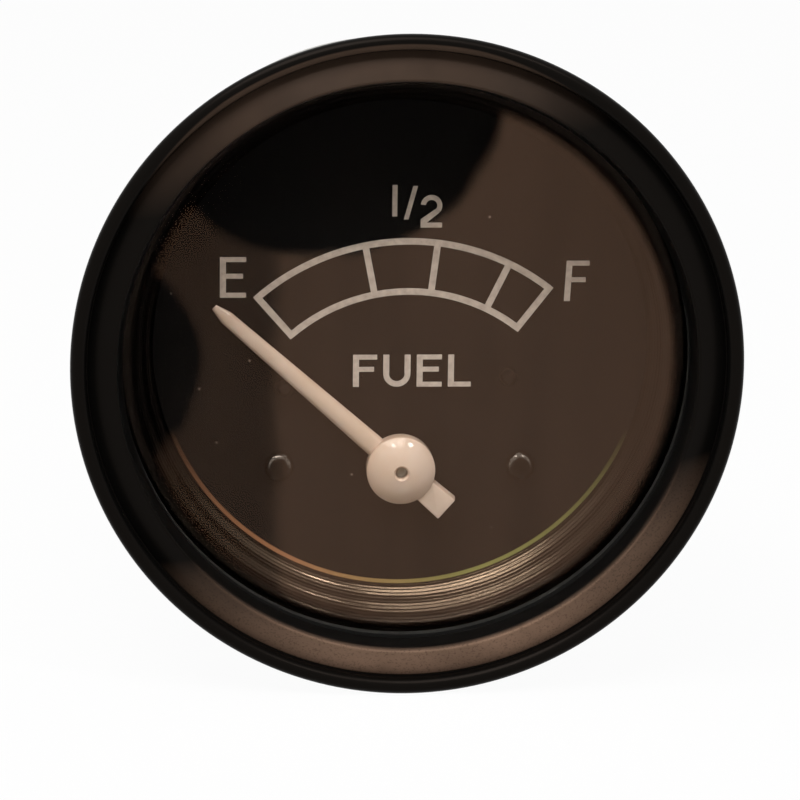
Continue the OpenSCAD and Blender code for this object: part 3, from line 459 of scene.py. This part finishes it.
def matt_dial_paint(colours):
    """Sprayed matt black paint, slightly browned, over a brass plate whose margin shows as a thin line along the
    bottom, coppery on the left and olive on the right, with a few specks of dust. The line is left out of the upper
    part, as painted shade."""
    material, tree, place = start_finish("matt_dial_paint")
    parts = parts_of(tree, place)
    tone = ramp(tree, noise(tree, place, 16.0, 3.0), 0.35, 0.65)
    paint = blend(tree, tone, colours.dial, colours.dial_warm)
    edge = blend(tree, band(tree, parts["X"], -10.0, 6.0), colours.dial_edge_left, colours.dial_edge_right)
    margin = band(tree, off_axis(tree, place), 22.22, 22.3)
    # The brass margin shows only at the bottom; above, the black paint stands in as painted shade.
    bare = product(tree, margin, band(tree, parts["Z"], -8.0, -21.0))
    dust = add_node(tree, "ShaderNodeTexVoronoi", {"Vector": place, "Scale": 1 / (3.4 * MM)}).outputs["Distance"]
    speck = ramp(tree, dust, 0.045, 0.02, 0.0, 0.35)
    return end_finish(material, {
        "Base Color": blend(tree, speck, blend(tree, bare, paint, edge), colours.ink),
        "Roughness": ramp(tree, bare, 0.0, 1.0, 0.62, 0.3),
        "Specular IOR Level": 0.04,
    })


def black_oxide_highlit_shoulders(colours):
    """Black oxide on steel: oily black and glossy, with brighter grey metal painted on the shoulders of the dial
    screws' heads, most at the top, as painted highlight: the lamps show there as two small arcs."""
    material, tree, place = start_finish("black_oxide_highlit_shoulders")
    parts = parts_of(tree, place)
    aside = number(tree, "ABSOLUTE", parts["X"])
    mirrored = add_node(tree, "ShaderNodeCombineXYZ", {"X": aside, "Z": parts["Z"]}).outputs[0]
    apart = vector(tree, "DISTANCE", mirrored, (SCREW_X * MM, 0.0, PIVOT_Z * MM), output="Value")
    # Painted highlight: brighter metal on the heads' shoulders, most at the top.
    shoulder = band(tree, apart, 0.78, 0.92)
    upper = band(tree, parts["Z"], PIVOT_Z - 0.2, PIVOT_Z + 0.6, 0.1)
    return end_finish(material, {
        "Base Color": blend(tree, product(tree, shoulder, upper), colours.oxide, colours.oxide_highlight),
        "Metallic": 1.0,
        "Roughness": ramp(tree, noise(tree, place, 0.4, 2.0), 0.0, 1.0, 0.12, 0.24),
    })


def wound_wire_enamel(colours):
    """Enamelled copper wire: coppery red with a glossy varnish, darker in small clouds."""
    material, tree, place = start_finish("wound_copper_wire")
    turned = stretched(tree, place, Rotation=(0.0, math.radians(-45), 0.0))
    body = blend(tree, noise(tree, turned, 1.2, 3.0), colours.copper, colours.copper_dark)
    return end_finish(material, {
        "Base Color": body, "Metallic": 0.8, "Roughness": 0.34, "Coat Weight": 0.6, "Coat Roughness": 0.2,
    })


def make_finishes(c):
    """Every finish of the gauge, by the record's material slot. c holds the colours."""
    return {
        "bezel_paint": satin_black_enamel(c),
        "glass": window_pane_glass(c),
        "ring_lacquer": drawn_ring_lacquer(c),
        "dial_black": matt_dial_paint(c),
        # Screen-printed ink: matt and slightly uneven, thinner in small spots.
        "print_ivory": moulded_finish("screen_printed_ink", c.ink, c.ink_thin, 0.6, 0.12, patch=0.7),
        # Injection-moulded ivory plastic: glossy and a little translucent, with soft flow marks.
        "pointer_ivory": moulded_finish(
            "moulded_ivory_plastic", c.ivory, c.ivory_shade, 0.14, 0.9, relief=0.003, patch=7.0,
            constants={
                "Subsurface Weight": 0.15, "Subsurface Radius": (0.001, 0.0006, 0.0004), "Subsurface Scale": 0.5,
            },
        ),
        # Moulded rubber ring: dull black with a grey bloom.
        "rubber": moulded_finish("moulded_black_rubber", c.rubber, c.rubber_bloom, 0.75, 0.2, patch=1.5),
        "black_oxide": black_oxide_highlit_shoulders(c),
        # Dull zinc plate on drawn steel: grey with cloudy patches and drawing lines along the case.
        "zinc_plate": metal_finish(
            "dull_zinc_plate", c.zinc, c.zinc_dull, 0.42, 0.35, stretch=(1, 0.15, 1), patch=7.0
        ),
        # Nickel plate on turned steel: bright, slightly yellow, stained in patches.
        "nickel_plate": metal_finish("nickel_plated_steel", c.nickel, c.nickel_dull, 0.28, 0.2, patch=2.5),
        # Turned brass: golden, darkened in patches, with fine turning lines.
        "brass": metal_finish("turned_brass", c.brass, c.brass_dull, 0.32, 0.25, stretch=(0.2, 1, 0.2), patch=2.5),
        # Oil-filled sintered bronze: brown with small dark pores.
        "bronze": metal_finish("sintered_bronze", c.bronze, c.bronze_dull, 0.45, 0.15, patch=0.3),
        # Bright ground steel: clean, with fine grinding lines.
        "bright_steel": metal_finish("ground_steel", c.steel, c.steel_dull, 0.25, 0.15, stretch=(1, 0.2, 1)),
        # Spindle steel painted dark brown, as painted shade of its end deep in the hub's bore.
        "spindle_steel": metal_finish("spindle_bore_shade_steel", c.steel_bore_shade, c.steel_dull, 0.4, 0.15, patch=2.0),
        # Annealed soft iron: dark grey scale with rolling marks.
        "soft_iron": metal_finish("annealed_iron", c.iron, c.iron_dull, 0.5, 0.3, patch=2.0),
        # Sintered magnet: nearly black, with fine pores.
        "magnet": metal_finish("sintered_magnet", c.magnet, c.magnet_dull, 0.48, 0.12, patch=0.4),
        # Hot-tinned brass: soft silver with slow waves.
        "tinned_brass": metal_finish("tinned_brass_sheet", c.tin, c.tin_dull, 0.35, 0.8, patch=1.5),
        # Moulded phenolic resin: cream, satin, yellowed in patches.
        "bobbin_resin": moulded_finish("moulded_cream_resin", c.resin, c.resin_shade, 0.42, 0.4),
        # Vulcanised fibre: deep red pressed paper with a dry, slightly fibrous face.
        "red_fibre": moulded_finish("vulcanised_fibre", c.fibre, c.fibre_shade, 0.62, 0.18, relief=0.02, patch=0.9),
        # Plastic sleeve on the leads: red, waxy.
        "lead_sleeve": moulded_finish("red_lead_sleeve", c.sleeve, c.sleeve_shade, 0.45, 0.3, patch=2.0),
        "copper_wire": wound_wire_enamel(c),
    }


FINISHES = {}


def finish_of(slot):
    """Finish of a material slot, made once."""
    if not FINISHES:
        FINISHES.update(make_finishes(bpy.context.scene.gauge_colours))
    return FINISHES[slot]


def dress(*nodes):
    """Give carried-over CAD nodes the finish of their own material slot."""
    for name in nodes:
        piece = frame["nodes"][name]
        for holder in piece.material_slots:
            holder.material = finish_of(holder.material.name.split(".")[0])


# ---- Shapes ---------------------------------------------------------------------------------------------------


def join(target, source):
    """Add one bmesh to another and free it."""
    mesh = bpy.data.meshes.new("joined")
    source.to_mesh(mesh)
    source.free()
    target.from_mesh(mesh)
    bpy.data.meshes.remove(mesh)


def lathe(corners, steps):
    """Turn a closed outline about the Y axis. Each corner is a radius, a depth, and the width that its rounding
    takes of its edges."""
    bm = bmesh.new()
    verts = [bm.verts.new((radius, depth, 0.0)) for radius, depth, _ in corners]
    bm.faces.new(verts)
    for vert, (_, _, width) in zip(verts, corners):
        if width:
            bmesh.ops.bevel(
                bm, geom=[vert], offset=width, offset_type="OFFSET", segments=8, profile=0.5,
                affect="VERTICES", material=-1,
            )
    bmesh.ops.delete(bm, geom=bm.faces[:], context="FACES_ONLY")
    on_axis = [edge for edge in bm.edges if all(vert.co.x < 1e-6 for vert in edge.verts)]
    bmesh.ops.delete(bm, geom=on_axis, context="EDGES")
    bmesh.ops.spin(
        bm, geom=bm.verts[:] + bm.edges[:], cent=(0, 0, 0), axis=(0, 1, 0), dvec=(0, 0, 0),
        angle=math.tau, steps=steps, use_merge=True,
    )
    bmesh.ops.remove_doubles(bm, verts=bm.verts, dist=1e-4)
    bmesh.ops.recalc_face_normals(bm, faces=bm.faces)
    return bm


def helix(section, start, pitch, turns, steps):
    """Sweep a closed section of (radius, depth) points round the Y axis, one pitch deeper each turn."""
    bm = bmesh.new()
    verts = [bm.verts.new((radius, start + depth, 0.0)) for radius, depth in section]
    bm.faces.new(verts)
    bmesh.ops.delete(bm, geom=bm.faces[:], context="FACES_ONLY")
    bmesh.ops.spin(
        bm, geom=bm.verts[:] + bm.edges[:], cent=(0, 0, 0), axis=(0, 1, 0), dvec=(0, pitch / steps, 0),
        angle=math.tau * turns, steps=steps * turns,
    )
    bmesh.ops.remove_doubles(bm, verts=bm.verts, dist=1e-4)
    bmesh.ops.holes_fill(bm, edges=[edge for edge in bm.edges if edge.is_boundary], sides=0)
    bmesh.ops.recalc_face_normals(bm, faces=bm.faces)
    return bm


def block(low, high, width=0.0):
    """Block between two corners. width is what the rounding of an edge takes of its faces."""
    bm = bmesh.new()
    low, high = Vector(low), Vector(high)
    bmesh.ops.create_cube(bm, size=1.0)
    bmesh.ops.scale(bm, vec=high - low, verts=bm.verts)
    bmesh.ops.translate(bm, vec=(low + high) / 2, verts=bm.verts)
    if width:
        bmesh.ops.bevel(
            bm, geom=bm.edges[:], offset=width, offset_type="OFFSET", segments=2, profile=0.5,
            affect="EDGES", material=-1,
        )
    return bm


def solved(shells, operation="UNION"):
    """One closed shape from overlapping closed shells: all of them joined, or the first without the others."""
    blanks = []
    for shell in shells:
        mesh = bpy.data.meshes.new("blank")
        shell.to_mesh(mesh)
        shell.free()
        blank = bpy.data.objects.new("blank", mesh)
        bpy.context.scene.collection.objects.link(blank)
        blanks.append(blank)
    for other in blanks[1:]:
        step = blanks[0].modifiers.new("step", "BOOLEAN")
        step.operation = operation
        step.solver = "EXACT"
        step.object = other
    bm = bmesh.new()
    bm.from_object(blanks[0], bpy.context.evaluated_depsgraph_get())
    for blank in blanks:
        mesh = blank.data
        bpy.data.objects.remove(blank)
        bpy.data.meshes.remove(mesh)
    if any(not edge.is_manifold for edge in bm.edges):
        raise RuntimeError("the shells did not give a closed shape")
    return bm


def make_piece(bm, name, body, slot, nodes, sharp=40):
    """Piece from a bmesh in millimetres. It rides on a body, takes a slot's finish and stands for CAD nodes."""
    bmesh.ops.scale(bm, vec=(MM, MM, MM), verts=bm.verts)
    mesh = bpy.data.meshes.new(name)
    bm.to_mesh(mesh)
    bm.free()
    mesh.shade_smooth()
    mesh.set_sharp_from_angle(angle=math.radians(sharp))
    mesh.materials.append(finish_of(slot))
    piece = bpy.data.objects.new(name, mesh)
    bpy.context.scene.collection.objects.link(piece)
    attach(piece, body)
    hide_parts(*nodes)


def rounded_copy(node, name, width, segments=2):
    """Piece that copies a CAD node and rounds its sharp edges."""
    source = frame["nodes"][node]
    bm = bmesh.new()
    bm.from_mesh(source.data)
    bmesh.ops.scale(bm, vec=(1 / MM, 1 / MM, 1 / MM), verts=bm.verts)
    bmesh.ops.remove_doubles(bm, verts=bm.verts, dist=1e-3)
    bmesh.ops.dissolve_limit(
        bm, angle_limit=math.radians(1), verts=bm.verts, edges=bm.edges, use_dissolve_boundaries=False
    )
    sharp = [
        edge for edge in bm.edges
        if len(edge.link_faces) == 2 and edge.calc_face_angle(0.0) > math.radians(35)
    ]
    bmesh.ops.bevel(
        bm, geom=sharp, offset=width, offset_type="OFFSET", segments=segments, profile=0.5,
        affect="EDGES", clamp_overlap=True, material=-1,
    )
    slot = source.material_slots[0].material.name.split(".")[0]
    make_piece(bm, name, source["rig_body"], slot, [node])


def mm(value):
    """Size property in millimetres."""
    return value / MM


# ---- Operators ------------------------------------------------------------------------------------------------


class GAUGE_OT_bezel(bpy.types.Operator):
    """Turn the rolled bezel: bead, crease, crowned face and lip"""

    bl_idname = "gauge.bezel"
    bl_label = "Bezel"

    def execute(self, context):
        s = context.scene.gauge_sizes
        bead, sheet = mm(s.bead_width), mm(s.bezel_sheet)
        bead_round, glass_gap = bead / 2 - 0.01, 0.02
        skirt_r = BEZEL_R - mm(s.skirt_step)
        seat_r = skirt_r - mm(s.seat_width)
        bead_y = GLASS_Y - mm(s.lip_depth)
        front_y, back_y = bead_y - bead / 2, bead_y + bead / 2
        crease_r, crease_y = BEZEL_R - bead, bead_y + mm(s.crease_depth)
        crown_r, crown_y = crease_r - mm(s.face_width), crease_y - mm(s.crown_rise)
        lip_r, lip_y = crown_r - mm(s.lip_width), GLASS_Y - glass_gap
        inside_r, inside_y = crown_r + 0.45, crown_y + 0.96
        bm = lathe(
            [
                (seat_r, 0, 0.1), (skirt_r, 0, 0.5), (skirt_r, back_y, 0.12), (BEZEL_R, back_y, bead_round),
                (BEZEL_R, front_y, bead_round), (crease_r, front_y, bead_round), (crease_r, crease_y, 0.12),
                (crown_r, crown_y, 0.3), (lip_r, lip_y, 0.08), (lip_r + sheet, lip_y, 0),
                (inside_r, inside_y, 0.2), (skirt_r - sheet, crease_y + sheet, 0.2),
                (skirt_r - sheet, -sheet, 0), (seat_r, -sheet, 0.1),
            ],
            s.turned_steps,
        )
        make_piece(bm, "bezel_rolled", "gauge", "bezel_paint", ["bezel"])
        return {"FINISHED"}


class GAUGE_OT_window(bpy.types.Operator):
    """Turn the ribbed reflector ring and dress the window glass and its gasket"""

    bl_idname = "gauge.window"
    bl_label = "Window and reflector ring"

    def execute(self, context):
        dress("window_glass", "window_gasket")
        node = "reflector_ring"
        front_y, foot_y, outer_r = reach(node, 1, 0), reach(node, 1, 1), reach(node, 0, 1)
        front_r, taper = 24.8, 2.18
        flange_y, back_r, back_foot_r = front_y + 0.4, 25.2, 23.1
        # The wall narrows toward the dial in shallow ribs, whose depth swells and fades along it.
        steps, ribs, swells, rib_depth, swell_depth = 120, 12, 2.6, 0.067, 0.02
        wall = []
        for k in range(steps + 1):
            depth = rib_depth + swell_depth * math.cos(math.tau * swells * k / steps)
            rib = depth * (1 - math.cos(math.tau * ribs * k / steps))
            wall.append((front_r - taper * k / steps - rib, front_y + (foot_y - front_y) * k / steps, 0))
        back = [(back_foot_r, foot_y, 0), (back_r, flange_y, 0), (outer_r, flange_y, 0), (outer_r, front_y, 0)]
        ring = lathe(wall + back, context.scene.gauge_sizes.turned_steps)
        make_piece(ring, "reflector_ring_drawn", "gauge", "ring_lacquer", [node])
        return {"FINISHED"}


class GAUGE_OT_dial(bpy.types.Operator):
    """Make the dial screws and dress the dial, its print and its spacers"""

    bl_idname = "gauge.dial"
    bl_label = "Dial"

    def execute(self, context):
        dress("dial_plate", "scale_print", "letter_print", "dial_spacers")
        head_y, tip_y = reach("dial_screws", 1, 0), reach("dial_screws", 1, 1)
        shank_r, slot_half, slot_depth = 0.9, 0.2, 0.35
        screws = bmesh.new()
        for side, turn in ((-1, 115), (1, 80)):
            screw = lathe(
                [(0, head_y, 0), (SCREW_HEAD_R, head_y, 0.6), (SCREW_HEAD_R, DIAL_Y, 0.05), (shank_r, DIAL_Y, 0),
                 (shank_r, tip_y, 0.2), (0, tip_y, 0)],
                64,
            )
            slot = block((-2, head_y - 1, -slot_half), (2, head_y + slot_depth, slot_half))
            bmesh.ops.rotate(slot, verts=slot.verts, matrix=Matrix.Rotation(math.radians(turn), 3, "Y"))
            screw = solved([screw, slot], "DIFFERENCE")
            bmesh.ops.translate(screw, verts=screw.verts, vec=(side * SCREW_X, 0, PIVOT_Z))
            join(screws, screw)
        make_piece(screws, "dial_screws_slotted", "gauge", "black_oxide", ["dial_screws"])
        return {"FINISHED"}


class GAUGE_OT_pointer(bpy.types.Operator):
    """Mould the pointer: half-round arm, domed hub and tail flow into one another"""

    bl_idname = "gauge.pointer"
    bl_label = "Pointer"

    def execute(self, context):
        s = context.scene.gauge_sizes
        hub_r, wall, dome, bore = mm(s.hub_radius), mm(s.hub_wall), mm(s.hub_dome), mm(s.hub_bore)
        cap_r = (hub_r ** 2 + dome ** 2) / (2 * dome)
        edge = math.asin(hub_r / cap_r)
        front, back_y, cap_steps = -wall - dome, -0.1, 14
        cap = [
            (cap_r * math.sin(edge * k / cap_steps), front + cap_r * (1 - math.cos(edge * k / cap_steps)), 0)
            for k in range(cap_steps - 1, 3, -1)
        ]
        hub = lathe(
            [(bore, 0, 0), (hub_r, 0, 0.12), (hub_r, -wall, 0.07), *cap, (bore + 0.16, front + 0.04, 0),
             (bore, front + 0.2, 0.04)],
            120,
        )
        arms = []
        half, tip_half, rise = mm(s.arm_width) / 2, mm(s.arm_tip_width) / 2, mm(s.arm_height)
        root = bore + 0.5
        shoulder = mm(s.pointer_length) - mm(s.tip_length)
        for start, end, wide, narrow in (
            (root, shoulder + 0.01, half, tip_half),
            (shoulder, mm(s.pointer_length), tip_half, tip_half * 0.42),
        ):
            arm = bmesh.new()
            bmesh.ops.create_cone(
                arm, cap_ends=True, segments=48, radius1=wide, radius2=narrow, depth=end - start
            )
            bmesh.ops.scale(arm, vec=(1, rise * 0.65 / half, 1), verts=arm.verts)
            bmesh.ops.translate(arm, vec=(0, back_y - rise * 0.35, (start + end) / 2), verts=arm.verts)
            cut = bmesh.ops.bisect_plane(
                arm, geom=arm.verts[:] + arm.edges[:] + arm.faces[:], plane_co=(0, back_y, 0), plane_no=(0, 1, 0),
                clear_outer=True,
            )
            rim = [item for item in cut["geom_cut"] if isinstance(item, bmesh.types.BMEdge)]
            bmesh.ops.holes_fill(arm, edges=rim, sides=0)
            arms.append(arm)
        tail_half, end_flare, back_flare = 1.02, 1.15, 1.12
        tail = block(
            (-tail_half, back_y - rise * 1.15, -mm(s.tail_length)), (tail_half, back_y, -root), 0.09
        )
        for vert in tail.verts:
            if vert.co.z < -hub_r - 0.2:
                vert.co.x *= end_flare
            if vert.co.y > back_y - 0.2:
                vert.co.x *= back_flare
        moulded = solved([hub, *arms, tail])
        bmesh.ops.rotate(
            moulded, verts=moulded.verts, cent=(0, 0, 0), matrix=Matrix.Rotation(-s.rest_angle, 3, "Y")
        )
        bmesh.ops.translate(moulded, verts=moulded.verts, vec=(0, DIAL_Y - 0.6, PIVOT_Z))
        make_piece(moulded, "pointer_moulding", "needle", "pointer_ivory", ["pointer"], sharp=30)
        dress("armature", "armature_bush")
        # The spindle takes the steel painted dark as shade of the hub's bore.
        for holder in frame["nodes"]["spindle"].material_slots:
            holder.material = finish_of("spindle_steel")
        return {"FINISHED"}


class GAUGE_OT_movement(bpy.types.Operator):
    """Dress and round what carries the spindle: bridge, bearings, posts, base plate and pillars"""

    bl_idname = "gauge.movement"
    bl_label = "Movement"

    def execute(self, context):
        dress("front_bearing", "rear_bearing", "dial_posts", "movement_pillars")
        rounded_copy("front_bridge", "front_bridge_pressed", 0.08)
        rounded_copy("base_plate", "base_plate_pressed", 0.12)
        return {"FINISHED"}


class GAUGE_OT_coils(bpy.types.Operator):
    """Wind the two coils and dress their cores, bobbins, brackets and screws"""

    bl_idname = "gauge.coils"
    bl_label = "Coils"

    def execute(self, context):
        wire = mm(context.scene.gauge_sizes.wire_width)
        outer_r, bore_r, span = 4.1, 2.3, 7.7
        inner_r, half = outer_r - wire * 0.6, wire / 2
        turns = int(span / wire) - 1
        for name, side in (("left", -1), ("right", 1)):
            outward = Vector((side, 0, 1)).normalized()
            bm = lathe(
                [(bore_r, -span / 2, 0), (inner_r, -span / 2, 0.1), (inner_r, span / 2, 0.1), (bore_r, span / 2, 0)],
                48,
            )
            section = [
                (outer_r - half + half * math.cos(math.tau * k / 8), half * math.sin(math.tau * k / 8))
                for k in range(8)
            ]
            join(bm, helix(section, -turns * wire / 2, wire, turns, 40))
            bmesh.ops.rotate(
                bm, verts=bm.verts, cent=(0, 0, 0),
                matrix=Vector((0, 1, 0)).rotation_difference(outward).to_matrix(),
            )
            bmesh.ops.translate(bm, verts=bm.verts, vec=middle(f"winding_{name}"))
            make_piece(bm, f"winding_turns_{name}", "gauge", "copper_wire", [f"winding_{name}"])
            rounded_copy(f"bobbin_{name}", f"bobbin_moulded_{name}", 0.08)
            rounded_copy(f"coil_bracket_{name}", f"coil_bracket_bent_{name}", 0.1)
            dress(f"core_{name}")
        dress("coil_bracket_screws", "coil_leads")
        return {"FINISHED"}


class GAUGE_OT_case(bpy.types.Operator):
    """Dress the drawn case and the screws in its back"""

    bl_idname = "gauge.case"
    bl_label = "Case"

    def execute(self, context):
        dress("case", "movement_screws")
        return {"FINISHED"}


def threaded_stud(s, place, root_y, head, start_y, tip_y):
    """Stud along Y at a place (x, z), with a rolled thread from start_y to its tip. s holds the sizes, head the
    head's radius and front depth."""
    shank_r, full_r = 2.2, 2.16
    core = full_r - mm(s.thread_depth)
    crest, sunk = full_r - 0.02, core - 0.05
    pitch = mm(s.thread_pitch)
    head_r, head_y = head
    bm = lathe(
        [(0, head_y, 0), (head_r, head_y, 0.2), (head_r, root_y, 0), (shank_r, root_y, 0), (shank_r, start_y, 0),
         (core, start_y, 0), (core, tip_y, 0.4), (0, tip_y, 0)],
        48,
    )
    tooth = [(sunk, 0), (crest, pitch * 0.42), (crest, pitch * 0.52), (sunk, pitch * 0.94)]
    turns = int((tip_y - 0.5 - start_y) / pitch)
    join(bm, helix(tooth, start_y - pitch * 0.3, pitch, turns, 32))
    bmesh.ops.translate(bm, verts=bm.verts, vec=(place[0], 0, place[1]))
    return bm


class GAUGE_OT_terminals(bpy.types.Operator):
    """Make the threaded terminal studs and dress their insulators, tags, washers and nuts"""

    bl_idname = "gauge.terminals"
    bl_label = "Terminals"

    def execute(self, context):
        s = context.scene.gauge_sizes
        for name in ("left", "right"):
            node = f"terminal_stud_{name}"
            x, z = middle(node).xz
            front_y = reach(node, 1, 0)
            root_y = front_y + STUD_HEAD
            bm = threaded_stud(
                s, (x, z), root_y, (2.6, front_y), reach("terminal_washers", 1, 0), reach(node, 1, 1)
            )
            # Square head, which keeps the stud from turning.
            join(bm, block((x - 3, front_y, z - 3), (x + 3, root_y, z + 3), 0.15))
            make_piece(bm, f"{node}_threaded", "gauge", "brass", [node])
        dress("inner_insulators", "outer_insulators", "solder_tags", "terminal_washers")
        rounded_copy("terminal_base_nuts", "terminal_base_nuts_turned", 0.08)
        rounded_copy("terminal_nuts", "terminal_nuts_turned", 0.08)
        return {"FINISHED"}


class GAUGE_OT_clamp(bpy.types.Operator):
    """Make the threaded mounting studs and the bent clamp, and dress their washers and nuts"""

    bl_idname = "gauge.clamp"
    bl_label = "Clamp"

    def execute(self, context):
        s = context.scene.gauge_sizes
        node = "mounting_studs"
        stud_x = reach(node, 0, 1) - STUD_HEAD_R
        front_y, start_y, tip_y = reach(node, 1, 0), CASE_Y + 1.5, reach(node, 1, 1)
        bm = bmesh.new()
        for side in SIDES:
            place = (side * stud_x, middle(node).z)
            join(bm, threaded_stud(s, place, front_y + STUD_HEAD, (STUD_HEAD_R, front_y), start_y, tip_y))
        make_piece(bm, "mounting_studs_threaded", "gauge", "nickel_plate", [node])
        rounded_copy("stud_base_nuts", "stud_base_nuts_turned", 0.08)
        rounded_copy("clamp_bracket", "clamp_bracket_bent", 0.25, 3)
        rounded_copy("clamp_nuts", "clamp_nuts_turned", 0.08)
        dress("clamp_washers")
        return {"FINISHED"}


def toward(azimuth, elevation):
    """Direction from the gauge to an azimuth right of its front and an elevation."""
    return Vector((
        math.sin(azimuth) * math.cos(elevation), -math.cos(azimuth) * math.cos(elevation), math.sin(elevation)
    ))


def add_lamp(name, azimuth, elevation, distance, size, power):
    """Soft rectangular lamp that faces the gauge. Its azimuth and elevation are in degrees."""
    away = toward(math.radians(azimuth), math.radians(elevation))
    data = bpy.data.lights.new(name, "AREA")
    data.shape = "RECTANGLE"
    data.size, data.size_y = size
    data.energy = power
    lamp = bpy.data.objects.new(name, data)
    lamp.location = away * distance
    lamp.rotation_mode = "QUATERNION"
    lamp.rotation_quaternion = away.to_track_quat("Z", "Y")
    bpy.context.scene.collection.objects.link(lamp)


def seen_as_backdrop(tree):
    """1 for rays that come from the camera, from a reflection or through glass, 0 for the light of matt faces."""
    ray = add_node(tree, "ShaderNodeLightPath", {}).outputs
    seen = number(tree, "MAXIMUM", ray["Is Camera Ray"], ray["Is Glossy Ray"])
    seen = number(tree, "MAXIMUM", seen, ray["Is Transmission Ray"])
    return number(tree, "SUBTRACT", seen, ray["Diffuse Depth"], clamp=True)


class GAUGE_OT_stage(bpy.types.Operator):
    """Set up floor, world, lamps and the photograph's camera"""

    bl_idname = "gauge.stage"
    bl_label = "Stage"

    def execute(self, context):
        scene = context.scene
        stage = scene.gauge_stage
        scene.view_settings.view_transform = "Standard"

        # Paper floor: pale, matt, with a barely visible mottle. Camera, metal and glass see it mostly as plain
        # white, and the rest of it carries the gauge's shadow.
        material, tree, place = start_finish("pale_paper_floor")
        mottle = ramp(tree, noise(tree, place, 60.0, 3.0), 0.0, 1.0, 0.985)
        paper = vector(tree, "MULTIPLY", tuple(scene.gauge_colours.floor), mottle)
        matt = add_node(
            tree, "ShaderNodeBsdfPrincipled", {"Base Color": paper, "Roughness": 0.9, "Specular IOR Level": 0.0}
        )
        white = add_node(tree, "ShaderNodeEmission", {"Color": (1, 1, 1, 1), "Strength": 1.0})
        share = product(tree, seen_as_backdrop(tree), 0.96)
        surface = add_node(tree, "ShaderNodeMixShader", {0: share, 1: matt.outputs[0], 2: white.outputs[0]})
        end_finish(material, surface.outputs[0])
        below = 0.02
        bm = bmesh.new()
        bmesh.ops.create_grid(bm, x_segments=1, y_segments=1, size=3.0)
        bmesh.ops.translate(bm, verts=bm.verts, vec=(0, 0, (FLOOR_Z - below) * MM))
        mesh = bpy.data.meshes.new("floor")
        bm.to_mesh(mesh)
        bm.free()
        mesh.materials.append(material)
        floor = bpy.data.objects.new("floor", mesh)
        scene.collection.objects.link(floor)

        # World: soft grey light, seen as plain white by the camera, by metal and by glass.
        world = bpy.data.worlds.new("studio_world")
        world.use_nodes = True
        tree = world.node_tree
        tree.nodes.clear()
        level = ramp(tree, seen_as_backdrop(tree), 0.0, 1.0, stage.world_level)
        light = add_node(tree, "ShaderNodeBackground", {"Color": (1, 1, 1, 1), "Strength": level})
        add_node(tree, "ShaderNodeOutputWorld", {"Surface": light.outputs[0]})
        scene.world = world

        for name, setting, share, *place in LAMPS:
            add_lamp(name, *place, getattr(stage, setting) * share)

        # Camera: turned to a point beside the gauge, so that its bezel stands where the photograph has it.
        away = toward(stage.azimuth, stage.elevation)
        bezel_middle = Vector((0, (GLASS_Y - 0.5) * MM, 0))
        data = bpy.data.cameras.new("camera")
        data.sensor_width = 36
        data.lens = stage.lens
        data.clip_start, data.clip_end = 0.01, 20
        right = away.cross(Vector((0, 0, -1))).normalized()
        up = away.cross(right)
        right, up = (
            right * math.cos(stage.roll) + up * math.sin(stage.roll),
            up * math.cos(stage.roll) - right * math.sin(stage.roll),
        )
        per_pixel = stage.distance * data.sensor_width / data.lens / PICTURE
        aim = (
            bezel_middle
            - right * (stage.centre_x - PICTURE / 2) * per_pixel
            - up * (PICTURE / 2 - stage.centre_y) * per_pixel
        )
        camera = bpy.data.objects.new("camera", data)
        camera.location = bezel_middle + away * stage.distance
        camera.rotation_mode = "QUATERNION"
        camera.rotation_quaternion = (
            (aim - camera.location).to_track_quat("-Z", "Y") @ Quaternion((0, 0, 1), stage.roll)
        )
        scene.collection.objects.link(camera)
        scene.camera = camera
        return {"FINISHED"}


OPERATORS = (
    GAUGE_OT_stage, GAUGE_OT_bezel, GAUGE_OT_window, GAUGE_OT_dial, GAUGE_OT_pointer, GAUGE_OT_movement,
    GAUGE_OT_coils, GAUGE_OT_case, GAUGE_OT_terminals, GAUGE_OT_clamp,
)


class GAUGE_PT_panel(bpy.types.Panel):
    """Panel that lists the gauge's operators and settings"""

    bl_idname = "GAUGE_PT_panel"
    bl_label = "Fuel gauge"
    bl_space_type = "VIEW_3D"
    bl_region_type = "UI"
    bl_category = "Gauge"

    def draw(self, context):
        for operator in OPERATORS:
            self.layout.operator(operator.bl_idname)
        for group in (context.scene.gauge_sizes, context.scene.gauge_colours, context.scene.gauge_stage):
            box = self.layout.box()
            for name in group.bl_rna.properties.keys():
                if name not in ("rna_type", "name"):
                    box.prop(group, name)


CLASSES = (GaugeSizes, GaugeColours, GaugeStage, *OPERATORS, GAUGE_PT_panel)


def register():
    for cls in CLASSES:
        bpy.utils.register_class(cls)
    bpy.types.Scene.gauge_sizes = PointerProperty(type=GaugeSizes)
    bpy.types.Scene.gauge_colours = PointerProperty(type=GaugeColours)
    bpy.types.Scene.gauge_stage = PointerProperty(type=GaugeStage)


def unregister():
    del bpy.types.Scene.gauge_stage
    del bpy.types.Scene.gauge_colours
    del bpy.types.Scene.gauge_sizes
    for cls in reversed(CLASSES):
        bpy.utils.unregister_class(cls)


def main():
    """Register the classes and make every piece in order."""
    register()
    bpy.ops.gauge.stage()
    bpy.ops.gauge.bezel()
    bpy.ops.gauge.window()
    bpy.ops.gauge.dial()
    bpy.ops.gauge.pointer()
    bpy.ops.gauge.movement()
    bpy.ops.gauge.coils()
    bpy.ops.gauge.case()
    bpy.ops.gauge.terminals()
    bpy.ops.gauge.clamp()
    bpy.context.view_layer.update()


if __name__ == "__main__":
    main()
